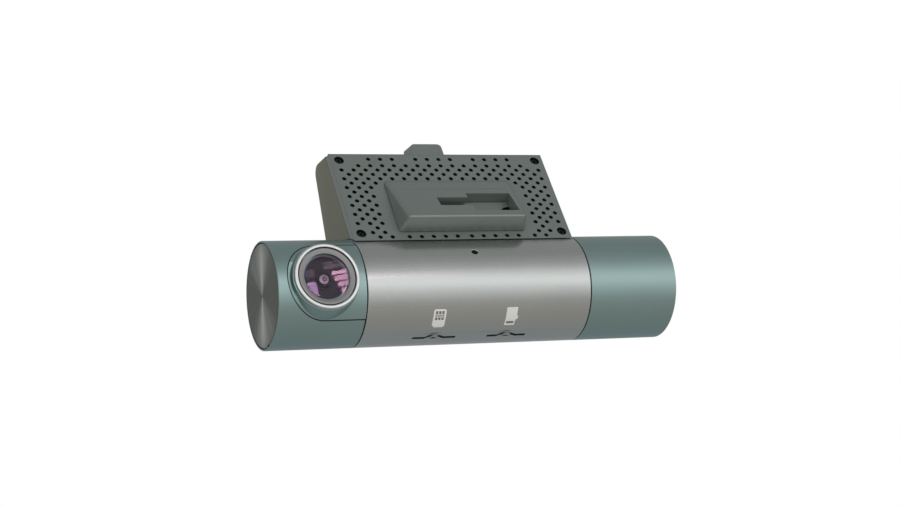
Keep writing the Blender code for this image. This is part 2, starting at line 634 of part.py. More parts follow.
def make_vent_plate():
    hood = helper("inlet_hood", rounded_edges(
        prism(hood_outline(), (HOOD_LEFT, HOOD_RIGHT)), HOOD_ROUND, 3, on_hood_top), body)
    cavity = helper("inlet_cavity_cutter", block(
        (HOOD_LEFT + HOOD_WALL, HOOD_RIGHT - HOOD_WALL),
        (PLATE_HEIGHT - HOOD_ROOT - 2 * HOOD_WALL, PLATE_HEIGHT + 3 * HOOD_HEIGHT),
        (-inlet_back(), -PLATE_SKIN)), plate_frame)
    thin = helper("plate_thin_cutter", block(
        (-THIN_HALF, THIN_HALF), (VENT_FIRST + VENT_ROW / 2, VENT_TOP - VENT_ROW * 0.75),
        (-PLATE_RIM - GAP, -PLATE_SKIN)), plate_frame)
    vents = helper("vent_cutter", together(*[
        disc(VENT_RADIUS, (-PLATE_RIM - GAP, GAP), place, 6) for place in vent_places()
    ]), plate_frame)
    shank = SCREW_SHANK_RADIUS + GAP
    recesses = helper("plate_screw_cutter", together(*[
        moved(turned([(-PLATE_RIM - GAP, 0), (-PLATE_RIM - GAP, shank), (-SCREW_RECESS, shank),
                      (-SCREW_RECESS, SCREW_RECESS_RADIUS), (GAP, SCREW_RECESS_RADIUS), (GAP, 0)],
                     SMALL_STEPS), (*place, 0.0))
        for place in screw_places()
    ]), plate_frame)
    latch = helper("latch_hole_cutter", disc(
        LATCH_HOLE_RADIUS, (-PLATE_RIM, GAP), latch_hole_place(), RING_STEPS // 2), plate_frame)
    barrel = helper("plate_barrel_cutter", bar(
        BARREL_RADIUS + GAP, (-CENTRE_LENGTH, CENTRE_LENGTH)), body)
    piece("vent_plate", block((-BOX_HALF, BOX_HALF), (0, PLATE_HEIGHT), (-PLATE_RIM, 0)),
          GREY_PLASTIC, plate_frame, joins=[hood],
          cuts=[cavity, thin, recesses, latch, barrel, vents])


def inlet_back():
    """Depth of the inlet cavity's back wall below the plate's face."""
    return HOOD_DEPTH * BOX_TOP.dot(PLATE_IN) - HOOD_WALL


def make_plate_screws():
    top = SCREW_HEAD_HEIGHT - SCREW_RECESS + GAP
    under_head = top - SCREW_HEAD_HEIGHT
    socket = (top - SCREW_HEAD_HEIGHT / 2, SCREW_HEAD_RADIUS / 2)
    for number, place in enumerate(screw_places(), 1):
        screw = turned([
            (under_head - SCREW_LENGTH, 0), (under_head - SCREW_LENGTH, SCREW_SHANK_RADIUS),
            (under_head, SCREW_SHANK_RADIUS), (under_head, SCREW_HEAD_RADIUS),
            (top, SCREW_HEAD_RADIUS), (top, socket[1]), socket, (socket[0], 0)], SMALL_STEPS)
        piece(f"plate_screw_{number}", moved(screw, (*place, 0.0)), SCREW_STEEL, plate_frame)


def make_cleat():
    """Wedge that presents a flat face to the windshield bracket, with its slot and pocket."""
    shape = block((-CLEAT_HALF_WIDTH, CLEAT_HALF_WIDTH), (CLEAT_LOW, CLEAT_HIGH), (GAP, 1))
    for vert in shape.verts:
        if vert.co.z < 0.5:
            continue
        low = vert.co.y < (CLEAT_LOW + CLEAT_HIGH) / 2
        height = CLEAT_LOW_HEIGHT if low else CLEAT_HIGH_HEIGHT
        side = 1 if vert.co.x > 0 else -1
        vert.co = (side * (CLEAT_HALF_WIDTH - CLEAT_DRAFT * height),
                   CLEAT_LOW + CLEAT_LOW_INSET if low else CLEAT_HIGH - CLEAT_HIGH_INSET, height)
    rounded_edges(shape, CLEAT_ROUND, keep=lambda edge: max(v.co.z for v in edge.verts) > 2 * GAP)
    through = -2 * CLEAT_LOW_HEIGHT
    slot = helper("cleat_slot_cutter", block(
        (SLOT_LEFT, SLOT_RIGHT), (SLOT_LOW, SLOT_HIGH), (-CLEAT_LOW_HEIGHT, CLEAT_ROUND)),
        cleat_frame)
    pocket = helper("cleat_pocket_cutter", block(
        (POCKET_LEFT, POCKET_RIGHT), (POCKET_LOW, POCKET_HIGH), (through, CLEAT_ROUND)),
        cleat_frame)
    channel = helper("cleat_channel_cutter", block(
        (SLOT_LEFT - CHANNEL_MARGIN, POCKET_LEFT + CHANNEL_MARGIN),
        (SLOT_LOW - CHANNEL_MARGIN, SLOT_HIGH + CHANNEL_MARGIN), (through, -CHANNEL_SKIN)),
        cleat_frame)
    core = helper("cleat_core_cutter", block(
        (-CLEAT_HALF_WIDTH + CLEAT_DRAFT * CLEAT_LOW_HEIGHT + CHANNEL_SKIN,
         SLOT_LEFT - CHANNEL_MARGIN - CHANNEL_SKIN),
        (CHANNEL_SKIN + CLEAT_ROUND, POCKET_HIGH), (through, -CHANNEL_SKIN)), cleat_frame)
    piece("bracket_cleat", shape, GREY_PLASTIC, plate_frame, cuts=[slot, pocket, channel, core])


# ---- pivots ---------------------------------------------------------------------------------
def stop_slot(stop_angle, up, down, x):
    """Arc slot that the stop pin travels in."""
    spare = degrees((STOP_PIN_RADIUS + GAP) / STOP_RADIUS)
    half = STOP_PIN_RADIUS + GAP
    first, last = stop_angle - down - spare, stop_angle + up + spare
    arc = turned([(x[0], STOP_RADIUS - half), (x[1], STOP_RADIUS - half),
                  (x[1], STOP_RADIUS + half), (x[0], STOP_RADIUS + half)],
                 10, "X", radians(first - last))
    bmesh.ops.rotate(arc, verts=arc.verts, matrix=Matrix.Rotation(radians(180 - first), 3, "X"))
    return arc


def make_pivot(name, side, pivot, stop_angle, up, down):
    """Bulkhead, hub, washer and retaining ring of one turning barrel. side is -1 or 1."""
    seam_x = side * (HALF + SEAM)
    disc_radius = BORE_RADIUS - GAP
    groove_radius = HUB_RADIUS - GROOVE_DEPTH
    ring_radii = (groove_radius + GAP, groove_radius + GAP + RETAINER_WIDTH)

    def collar(near, far, inner, outer):
        return turned([(side * near, inner), (side * near, outer),
                       (side * far, outer), (side * far, inner)], HIDDEN_STEPS, "X")

    arc = helper(f"{name}_stop_slot", stop_slot(
        stop_angle, up, down,
        sorted((side * (BULKHEAD_INNER - GAP), side * (BULKHEAD_OUTER + GAP)))), body)
    holes = screw_bores(f"{name}_bulkhead_screw_cutter", [
        place for place in screw_places(high=False) if place[0] * side > 0])
    piece(f"{name}_bulkhead", collar(BULKHEAD_INNER, BULKHEAD_OUTER, HUB_RADIUS + GAP, disc_radius),
          BLACK_PLASTIC, body, cuts=[arc, holes])

    groove = (side * (RING_NEAR + GAP / 2), side * (RING_FAR - GAP / 2))
    flange_x = seam_x + side * HUB_FLANGE
    hub = turned([
        (flange_x, HUB_BORE), (flange_x, disc_radius), (seam_x, disc_radius), (seam_x, HUB_RADIUS),
        (groove[0], HUB_RADIUS), (groove[0], groove_radius), (groove[1], groove_radius),
        (groove[1], HUB_RADIUS), (side * HUB_TIP, HUB_RADIUS), (side * HUB_TIP, HUB_BORE)],
        HIDDEN_STEPS, "X")
    pin_centre = round_barrel(stop_angle, STOP_RADIUS)
    reach = (seam_x + side * HUB_FLANGE / 2, side * (BULKHEAD_INNER + BULKHEAD_THICKNESS / 3))
    pin = disc(STOP_PIN_RADIUS, sorted(reach), steps=12)
    bmesh.ops.rotate(pin, verts=pin.verts, matrix=Matrix.Rotation(pi / 2, 3, "Y"))
    stop_pin = helper(f"{name}_stop_pin", moved(pin, (0.0, pin_centre.x, pin_centre.y)), pivot)
    piece(f"{name}_pivot_hub", hub, BLACK_PLASTIC, pivot, joins=[stop_pin])

    opening = helper(f"{name}_retainer_gap", block(
        (side * (RING_NEAR + GAP), side * (RING_FAR - GAP)), around(0, HUB_RADIUS),
        (0, 2 * HUB_RADIUS)), pivot)
    piece(f"{name}_retaining_ring", collar(RING_NEAR, RING_FAR, *ring_radii), SPRING_STEEL, pivot,
          cuts=[opening])
    piece(f"{name}_friction_washer", collar(
        BULKHEAD_INNER - GAP, WASHER_FAR, HUB_RADIUS + GAP, ring_radii[1]), SPRING_STEEL, body)


def barrel_cover(seam_x, end_x):
    """Barrel shell: a tube with a rebate for the end cap."""
    side = 1 if end_x > seam_x else -1
    rebate = end_x - side * (CAP_THICKNESS + GAP)
    lip = BARREL_RADIUS - CAP_LIP
    return turned([
        (seam_x, BORE_RADIUS), (seam_x, BARREL_RADIUS), (end_x, BARREL_RADIUS), (end_x, lip),
        (rebate, lip), (rebate, BORE_RADIUS)], TUBE_STEPS, "X")


def end_cap(name, end_x, pivot):
    side = 1 if end_x > 0 else -1
    radius = BARREL_RADIUS - CAP_LIP - GAP
    place = round_barrel(CAP_NOTCH_ANGLE, radius)
    notch = helper(f"{name}_notch", block(
        (end_x + side * GAP, end_x - side * CAP_NOTCH_RADIUS),
        around(place.x, 2 * CAP_NOTCH_RADIUS), around(place.y, 2 * CAP_NOTCH_RADIUS)), pivot)
    piece(name, bar(radius, (end_x - side * CAP_THICKNESS, end_x)), SPUN, pivot, cuts=[notch])


# ---- road camera ----------------------------------------------------------------------------
def panel_former(radius, right, z):
    """U shape: a half circle round the lens, with straight sides that run to the seam."""
    shape = bmesh.new()
    steps = RING_STEPS // 2
    verts = [shape.verts.new((radius * cos(pi / 2 + pi * step / steps),
                              radius * sin(pi / 2 + pi * step / steps), z[0]))
             for step in range(steps + 1)]
    verts += [shape.verts.new((right, side * radius, z[0])) for side in (-1, 1)]
    face = shape.faces.new(verts)
    grown = bmesh.ops.extrude_face_region(shape, geom=[face], use_keep_orig=True)
    upper = [item for item in grown["geom"] if isinstance(item, bmesh.types.BMVert)]
    bmesh.ops.translate(shape, verts=upper, vec=(0, 0, z[1] - z[0]))
    bmesh.ops.recalc_face_normals(shape, faces=shape.faces)
    return shape


def make_road_camera():
    to_seam = FRONT_SEAM_X - LENS_X
    bezel_floor = LENS_TOP - BEZEL_HEIGHT - GAP
    bezel_inner = BEZEL_RADIUS - BEZEL_WIDTH
    trim_outer = bezel_inner - GAP
    trim_inner = trim_outer - TRIM_WIDTH
    trim_top = LENS_TOP - GAP
    glass_radius = trim_inner - GAP
    glass_top = trim_top - GLASS_SUNK
    ledge = min(trim_top - TRIM_HEIGHT, glass_top - GLASS_THICKNESS) - GAP
    bore = glass_radius - GLASS_SEAT
    deep = BORE_RADIUS * 0.5

    past_seam = to_seam + HUB_FLANGE
    opening = helper("panel_opening_cutter", panel_former(
        PANEL_RADIUS + GAP, past_seam, (0, LENS_TOP + GAP)), lens_frame)
    piece("front_barrel_cover", barrel_cover(FRONT_SEAM_X, FRONT_END_X), TEAL, front_pivot,
          cuts=[opening])
    end_cap("front_end_cap", FRONT_END_X, front_pivot)

    root_radius = PANEL_RADIUS - BOSS_INSIDE_PANEL
    boss_top_radius = BEZEL_RADIUS + BOSS_SHOULDER
    root = bezel_floor - (root_radius - boss_top_radius) / BOSS_DRAFT
    boss = helper("lens_boss", turned([
        (deep, 0), (deep, root_radius), (root, root_radius), (bezel_floor, boss_top_radius),
        (bezel_floor, 0)]), lens_frame)
    well = helper("lens_well_cutter", turned([
        (0, 0), (0, bore), (ledge, bore), (ledge, bezel_inner), (LENS_TOP, bezel_inner),
        (LENS_TOP, 0)]), lens_frame)
    shell = helper("panel_shell", turned([
        (FRONT_SEAM_X, BORE_RADIUS), (FRONT_SEAM_X, BARREL_RADIUS),
        (FRONT_END_X, BARREL_RADIUS), (FRONT_END_X, BORE_RADIUS)], TUBE_STEPS, "X"), front_pivot)
    inside = BORE_RADIUS - TUBE_WALL
    boss_bottom = helper("boss_bottom_cutter", bar(inside, (FRONT_END_X, FRONT_SEAM_X)), front_pivot)
    hub_room = helper("hub_room_cutter", bar(
        BORE_RADIUS + BOSS_INSIDE_PANEL, (FRONT_SEAM_X - HUB_FLANGE - GAP, FRONT_SEAM_X + GAP)),
        front_pivot)
    post_up = bore + SENSOR_POST_WALL + SENSOR_POST_RADIUS
    post_top = (inside ** 2 - post_up ** 2) ** 0.5 + SENSOR_POST_RADIUS
    posts = helper("sensor_posts", together(*[
        disc(SENSOR_POST_RADIUS, (SENSOR_DEPTH + GAP, post_top), (0.0, side * post_up))
        for side in (-1, 1)
    ]), lens_frame)
    housing = piece("lens_housing", panel_former(
        PANEL_RADIUS, past_seam, (deep / 2, LENS_TOP)), TEAL, lens_frame)
    combine(housing, shell, "INTERSECT")
    combine(housing, boss, "UNION")
    combine(housing, boss_bottom, "DIFFERENCE")
    combine(housing, hub_room, "DIFFERENCE")
    combine(housing, posts, "UNION")
    combine(housing, well, "DIFFERENCE")

    def ring(name, inner, outer, low, high, material, round_off):
        shape = turned([(low, inner), (low, outer), (high - round_off, outer),
                        (high, outer - round_off), (high, inner + round_off),
                        (high - round_off, inner)])
        piece(name, shape, material, lens_frame)

    ring("lens_bezel_ring", bezel_inner, BEZEL_RADIUS, LENS_TOP - BEZEL_HEIGHT, LENS_TOP,
         BRIGHT_RING, BEZEL_WIDTH / 4)
    ring("lens_trim_ring", trim_inner, trim_outer, trim_top - TRIM_HEIGHT, trim_top,
         TRIM_GREY, TRIM_WIDTH / 8)
    piece("lens_cover_glass", disc(
        glass_radius, (glass_top - GLASS_THICKNESS, glass_top), steps=RING_STEPS), GLASS, lens_frame)
    mask_top = glass_top - GLASS_THICKNESS - MASK_DEPTH
    piece("lens_mask", turned([
        (mask_top - MASK_THICKNESS, LENS_RADIUS + GAP), (mask_top - MASK_THICKNESS, bore - GAP),
        (mask_top, bore - GAP), (mask_top, LENS_RADIUS + GAP)]), BLACK_PLASTIC, lens_frame)

    lens_top = glass_top - GLASS_THICKNESS - LENS_BELOW_GLASS
    seat = lens_top - ELEMENT_THICKNESS - 2 * GAP
    foot = SENSOR_DEPTH + GAP
    piece("lens_barrel", turned([
        (foot, 0), (foot, LENS_HOLDER_RADIUS), (foot + LENS_HOLDER_HEIGHT, LENS_HOLDER_RADIUS),
        (foot + LENS_HOLDER_HEIGHT, LENS_RADIUS), (lens_top, LENS_RADIUS),
        (lens_top, ELEMENT_RADIUS + GAP), (seat, ELEMENT_RADIUS + GAP), (seat, 0)], HIDDEN_STEPS),
        BLACK_PLASTIC, lens_frame)
    low = seat + GAP
    piece("lens_front_element", turned([
        (low, 0), (low, ELEMENT_RADIUS), (low + ELEMENT_THICKNESS / 2, ELEMENT_RADIUS),
        (low + ELEMENT_THICKNESS * 0.8, ELEMENT_RADIUS * 0.7), (low + ELEMENT_THICKNESS, 0)], SMALL_STEPS),
        GLASS, lens_frame)
    width, thickness = SENSOR_BOARD
    plug = helper("sensor_connector", block(
        around(0, CONNECTOR[0]), around(0, CONNECTOR[1]),
        (CABLE_RADIUS + 2 * GAP, SENSOR_DEPTH - thickness / 2)), lens_frame)
    piece("front_sensor_board", block(
        around(0, width), around(0, 2 * (post_up + SENSOR_POST_RADIUS)),
        (SENSOR_DEPTH - thickness, SENSOR_DEPTH)), GREEN_BOARD, lens_frame, joins=[plug])


# ---- cabin camera ---------------------------------------------------------------------------
def make_cabin_camera():
    opening = helper("cabin_opening_cutter", disc(
        CABIN_BEZEL_RADIUS + GAP, (0, 2 * BARREL_RADIUS), steps=RING_STEPS), cabin_lens_frame)
    piece("cabin_barrel_cover", barrel_cover(CABIN_SEAM_X, CABIN_END_X), TEAL, cabin_pivot,
          cuts=[opening])
    end_cap("cabin_end_cap", CABIN_END_X, cabin_pivot)

    top = BARREL_RADIUS + CABIN_BEZEL_PROUD
    bottom = top - CABIN_BEZEL_DEPTH
    bore = CABIN_BEZEL_RADIUS - CABIN_BEZEL_WALL
    glass_radius = bore + CABIN_BEZEL_WALL / 2 - GAP
    ledge = top - 2 * GLASS_THICKNESS
    piece("cabin_bezel", turned([
        (bottom, bore), (bottom, CABIN_BEZEL_RADIUS), (top, CABIN_BEZEL_RADIUS),
        (top, glass_radius + GAP), (ledge, glass_radius + GAP), (ledge, bore)]),
        BLACK_PLASTIC, cabin_lens_frame)
    piece("cabin_lens_glass", disc(
        glass_radius, (ledge + GAP, ledge + GAP + GLASS_THICKNESS), steps=RING_STEPS),
        GLASS, cabin_lens_frame)
    board_top = bottom + BOARD_THICKNESS
    tail = helper("cabin_board_tail", block(
        around(0, CABIN_TAIL[0]), around(0, CABIN_TAIL[1]),
        (CABLE_RADIUS + 2 * GAP, bottom + BOARD_THICKNESS / 2)), cabin_lens_frame)
    piece("cabin_camera_board", disc(bore - GAP, (bottom, board_top), steps=RING_STEPS),
          GREEN_BOARD, cabin_lens_frame, joins=[tail])
    foot = board_top + GAP
    piece("cabin_lens_barrel", turned([
        (foot, 0), (foot, CABIN_LENS_RADIUS), (foot + CABIN_LENS_HEIGHT, CABIN_LENS_RADIUS),
        (foot + CABIN_LENS_HEIGHT, CABIN_LENS_RADIUS / 2),
        (foot + CABIN_LENS_HEIGHT * 0.9, 0)], SMALL_STEPS), BLACK_PLASTIC, cabin_lens_frame)
    for number in range(LED_COUNT):
        turn = tau * (number + 0.5) / LED_COUNT
        centre = (LED_CIRCLE * cos(turn), LED_CIRCLE * sin(turn))
        piece(f"infrared_led_{number + 1}", disc(
            LED_RADIUS, (foot, foot + LED_HEIGHT), centre, SMALL_STEPS // 2, LED_RADIUS * 0.7),
            LIGHT_CLEAR, cabin_lens_frame)


# ---- electronics ----------------------------------------------------------------------------
def make_boards():
    board_x = SCREW_X - POST_RADIUS - GAP
    board_high = PLATE_HEIGHT - HOOD_ROOT - BOARD_BELOW_HOOD
    board_low = (round_barrel(LINK_ANGLE, LINK_TIP) - PLATE_FOOT).dot(PLATE_UP) + BOARD_ABOVE_LINK
    middle = (board_low + board_high) / 2
    face = -BOARD_DEPTH
    piece("main_board", block((-board_x, board_x), (board_low, board_high),
                              (face - BOARD_THICKNESS, face)), GREEN_BOARD, plate_frame)

    def stacked(name, size, x, low, material):
        """Flat part whose underside is at `low`. Returns where the next one starts."""
        piece(name, block(around(x, size[0]), around(middle, size[1]), (low, low + size[2])),
              material, plate_frame)
        return low + size[2] + GAP

    pad_low = stacked("processor", PROCESSOR, 0, face + GAP, BLACK_PLASTIC)
    low = stacked("thermal_pad", (*PROCESSOR[:2], PAD_THICKNESS), 0, pad_low, SILICONE)
    tall = board_high - board_low
    height, thickness = tall * TALL_SHARE, SPREADER_THICKNESS
    width = 2 * board_x * SPREADER_SHARE
    pitch = (height - FIN_THICKNESS - 2 * GAP) / (FIN_COUNT - 1)
    fins = helper("spreader_fins", together(*[
        block(around(0, width - 2 * GAP),
              around(middle + (number - (FIN_COUNT - 1) / 2) * pitch, FIN_THICKNESS),
              (low + thickness / 2, low + thickness + FIN_HEIGHT))
        for number in range(FIN_COUNT)
    ]), plate_frame)
    piece("heat_spreader", block(
        around(0, width), around(middle, height), (low, low + thickness)),
        ALUMINIUM, plate_frame, joins=[fins])
    beside = board_x - width / 2
    outer = board_x - beside / 2
    modem = (beside * MODEM_SHARE, height, MODEM_THICKNESS)
    antenna = (beside * ANTENNA_SHARE, tall * ANTENNA_TALL_SHARE, ANTENNA_THICKNESS)
    stacked("cellular_modem", modem, outer, face + GAP, SHIELD)
    stacked("gps_antenna", antenna, -outer, face + GAP, CERAMIC)


def make_capacitors():
    """Two cans end to end behind the main board, just above the saddle over the tube."""
    depth = BOARD_DEPTH + BOARD_THICKNESS + CAPACITOR_BEHIND_BOARD
    from_axis = BARREL_RADIUS + GAP + SADDLE_WALL + CAPACITOR_ABOVE_SADDLE + CAPACITOR_RADIUS
    behind_axis = depth + PLATE_FOOT.dot(PLATE_IN)
    up = (from_axis ** 2 - behind_axis ** 2) ** 0.5 - PLATE_FOOT.dot(PLATE_UP)
    start = -BOX_HALF + BOX_WALL + CAPACITOR_FROM_END
    for number in range(2):
        x = start + CAPACITOR_LENGTH / 2 + number * (CAPACITOR_LENGTH + 2 * GAP)
        can = disc(CAPACITOR_RADIUS, around(0, CAPACITOR_LENGTH), steps=HIDDEN_STEPS)
        bmesh.ops.rotate(can, verts=can.verts, matrix=Matrix.Rotation(pi / 2, 3, "Y"))
        piece(f"backup_capacitor_{number + 1}", moved(can, (x, up, -depth)),
              BLACK_PLASTIC, plate_frame)


def make_speaker():
    top = -BOX_WALL - GAP
    waist = (top - SPEAKER_THICKNESS / 2, SPEAKER_RADIUS * 0.7)
    piece("speaker", turned([
        (top - SPEAKER_THICKNESS, 0), (top - SPEAKER_THICKNESS, waist[1]), waist,
        (waist[0], SPEAKER_RADIUS), (top, SPEAKER_RADIUS), (top, SPEAKER_RADIUS * 0.85),
        (top - SPEAKER_THICKNESS / 4, 0)], HIDDEN_STEPS), BLACK_PLASTIC, speaker_frame)


def make_power_socket():
    x = (HOOD_LEFT + HOOD_WALL + GAP, HOOD_RIGHT - HOOD_WALL - GAP)
    front = -PLATE_SKIN - GAP
    z = (front - SOCKET_THICKNESS, front)
    slope = BOX_TOP.dot(PLATE_UP) / BOX_TOP.dot(PLATE_IN)
    top = PLATE_HEIGHT + HOOD_HEIGHT - front * slope - SOCKET_SUNK
    mouth = helper("socket_mouth_cutter", block(
        (x[0] + SOCKET_SHELL, x[1] - SOCKET_SHELL), (top - SOCKET_MOUTH_DEPTH, top + GAP),
        (z[0] + SOCKET_SHELL, z[1] - SOCKET_SHELL)), plate_frame)
    middle = sum(z) / 2
    tongue = helper("socket_tongue", block(
        (x[0] + 4 * SOCKET_SHELL, x[1] - 4 * SOCKET_SHELL),
        (top - SOCKET_MOUTH_DEPTH - SOCKET_SHELL, top - 3 * SOCKET_SHELL),
        around(middle, 1.5 * SOCKET_SHELL)), plate_frame)
    socket = piece("power_socket", block(x, (top - SOCKET_LENGTH, top), z), SHIELD, plate_frame,
                   cuts=[mouth])
    combine(socket, tongue, "UNION")


def make_card_slots():
    reach = BORE_RADIUS - CARD_SOCKET_SETBACK
    for name, x, slot in (("sim_socket", SIM_X, SIM_SLOT),
                          ("memory_card_socket", MEMORY_X, MEMORY_SLOT)):
        mouth = helper(f"{name}_mouth", block(
            around(x, slot), around(0, CARD_SLOT_HEIGHT),
            (reach - CARD_SOCKET_DEPTH + CARD_SOCKET_MARGIN, reach + GAP)), card_frame)
        piece(name, block(
            around(x, slot + 2 * CARD_SOCKET_MARGIN), around(0, CARD_SOCKET_HEIGHT),
            (reach - CARD_SOCKET_DEPTH, reach)), SHIELD, card_frame, cuts=[mouth])
    board_y = CARD_SOCKET_HEIGHT / 2 + GAP
    piece("card_board", block(
        (-CARD_BOARD_HALF, CARD_BOARD_HALF), (board_y, board_y + BOARD_THICKNESS),
        (-CARD_BOARD_BEHIND, reach - CARD_SOCKET_MARGIN)), GREEN_BOARD, card_frame)


def make_link_flex():
    """Ribbon that runs from the card board out through the two windows towards the main board."""
    low = CARD_BOARD_BEHIND + 2 * GAP
    piece("board_link_flex", block(
        around(LINK_X, LINK_WIDTH), around(0, LINK_THICKNESS), (low, LINK_TIP)),
        FLEX_AMBER, link_frame)


def make_microphone():
    top = (BORE_RADIUS ** 2 - MIC_RADIUS ** 2) ** 0.5 - GAP
    port = (top - MIC_THICKNESS / 4, MIC_HOLE_RADIUS)
    piece("microphone", turned([
        (top - MIC_THICKNESS, 0), (top - MIC_THICKNESS, MIC_RADIUS), (top, MIC_RADIUS),
        (top, port[1]), port, (port[0], 0)], SMALL_STEPS), BLACK_PLASTIC, mic_frame)


def make_button():
    inner = (BORE_RADIUS ** 2 - BUTTON_FLANGE_RADIUS ** 2) ** 0.5 - GAP
    flange_low = inner - BUTTON_FLANGE
    top = BARREL_RADIUS + BUTTON_PROUD
    piece("event_button", turned([
        (flange_low, 0), (flange_low, BUTTON_FLANGE_RADIUS), (inner, BUTTON_FLANGE_RADIUS),
        (inner, BUTTON_RADIUS), (top - BUTTON_PROUD / 2, BUTTON_RADIUS),
        (top, BUTTON_RADIUS - BUTTON_PROUD / 2), (top, 0)], HIDDEN_STEPS), RED_PLASTIC, button_frame)
    switch_top = flange_low - BUTTON_TRAVEL - GAP
    board_top = switch_top - SWITCH[2] - GAP
    piece("button_switch", block(around(0, SWITCH[0]), around(0, SWITCH[1]),
                                 (switch_top - SWITCH[2], switch_top)), BLACK_PLASTIC, button_frame)
    piece("button_board", block(around(0, BUTTON_BOARD[0]), around(0, BUTTON_BOARD[1]),
                                (board_top - BUTTON_BOARD[2], board_top)), GREEN_BOARD, button_frame)
    wall = (BORE_RADIUS ** 2 - LIGHT_FLANGE_RADIUS ** 2) ** 0.5 - GAP
    light_low = board_top + GAP
    piece("status_light", moved(turned([
        (light_low, 0), (light_low, LIGHT_RADIUS), (wall - BUTTON_FLANGE, LIGHT_RADIUS),
        (wall - BUTTON_FLANGE, LIGHT_FLANGE_RADIUS), (wall, LIGHT_FLANGE_RADIUS),
        (wall, LIGHT_RADIUS), (BARREL_RADIUS, LIGHT_RADIUS), (BARREL_RADIUS + GAP, 0)], SMALL_STEPS),
        (LIGHT_X, 0, 0)), LIGHT_CLEAR, button_frame)


def make_camera_cables():
    """Round leads that pass through the hubs on the barrel's axis, so that they only twist."""
    for name, far in (("front_camera_cable", LENS_X), ("cabin_camera_cable", CABIN_LENS_X)):
        near = (CARD_BOARD_HALF + GAP) * (1 if far > 0 else -1)
        lead = bpy.data.curves.new(name, "CURVE")
        lead.dimensions = "3D"
        lead.bevel_depth = CABLE_RADIUS
        lead.bevel_resolution = 2
        lead.use_fill_caps = True
        run = lead.splines.new("POLY")
        run.points.add(1)
        run.points[0].co = (near, 0, 0, 1)
        run.points[1].co = (far, 0, 0, 1)
        lead.materials.append(CABLE_BLACK)
        obj = bpy.data.objects.new(name, lead)
        bpy.context.scene.collection.objects.link(obj)
        obj.parent = body


make_body_tube()
make_housing()
make_vent_plate()
make_plate_screws()
make_cleat()
make_pivot("front", -1, front_pivot, FRONT_STOP_ANGLE, FRONT_UP, FRONT_DOWN)
make_pivot("cabin", 1, cabin_pivot, CABIN_STOP_ANGLE, CABIN_UP, CABIN_DOWN)
make_road_camera()
make_cabin_camera()
make_boards()
make_capacitors()
make_speaker()
make_power_socket()
make_card_slots()
make_link_flex()
make_microphone()
make_button()
make_camera_cables()
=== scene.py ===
"""Finished looks of a two-channel cylindrical dash camera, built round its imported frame.

Axes as in the frame: +X along the barrel, -Y towards the road, +Z up, metres. Angles round the
barrel are in degrees from straight ahead (-Y), rising towards +Z. A local frame points its +Z away
from a surface and its +Y up along it.
"""

import json
import logging
from dataclasses import dataclass, field
from enum import Enum
from math import atan2, cos, degrees, pi, radians, sin, tau
from typing import Callable, Iterable, Sequence, Union

import bmesh
import bpy
from mathutils import Matrix, Vector


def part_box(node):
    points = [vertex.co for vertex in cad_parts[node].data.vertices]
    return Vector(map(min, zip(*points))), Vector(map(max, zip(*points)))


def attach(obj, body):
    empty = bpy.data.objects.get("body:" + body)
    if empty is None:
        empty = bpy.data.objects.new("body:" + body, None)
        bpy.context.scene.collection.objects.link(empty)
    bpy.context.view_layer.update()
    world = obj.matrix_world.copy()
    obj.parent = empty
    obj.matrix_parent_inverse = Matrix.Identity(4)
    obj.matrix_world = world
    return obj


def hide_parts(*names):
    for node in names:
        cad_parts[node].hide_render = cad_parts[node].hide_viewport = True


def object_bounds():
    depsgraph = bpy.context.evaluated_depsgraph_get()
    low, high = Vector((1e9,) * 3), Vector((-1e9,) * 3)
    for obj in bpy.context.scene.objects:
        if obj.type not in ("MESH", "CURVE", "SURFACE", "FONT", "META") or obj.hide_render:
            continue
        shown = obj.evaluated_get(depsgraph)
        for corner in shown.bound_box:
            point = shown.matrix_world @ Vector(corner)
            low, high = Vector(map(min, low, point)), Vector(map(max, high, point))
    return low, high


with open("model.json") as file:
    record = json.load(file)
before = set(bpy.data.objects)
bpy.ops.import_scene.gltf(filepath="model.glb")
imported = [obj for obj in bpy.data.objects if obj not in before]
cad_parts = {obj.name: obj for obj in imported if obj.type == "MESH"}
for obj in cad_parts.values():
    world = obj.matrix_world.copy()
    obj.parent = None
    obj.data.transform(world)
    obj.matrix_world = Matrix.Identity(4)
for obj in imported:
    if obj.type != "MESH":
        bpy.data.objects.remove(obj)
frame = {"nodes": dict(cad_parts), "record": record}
CAD_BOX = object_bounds()

LOG = logging.getLogger("dash_camera")

GAP = 0.0003
FINE_STEPS = 192
RING_STEPS = 128
MEDIUM_STEPS = 64
SMALL_STEPS = 48
LAMP_STEPS = 32
HOLE_STEPS = 16
MERGE = 1e-7
SHARP_ANGLE = 32

Colour = tuple[float, float, float]
Span = tuple[float, float]
Point = tuple[float, float]


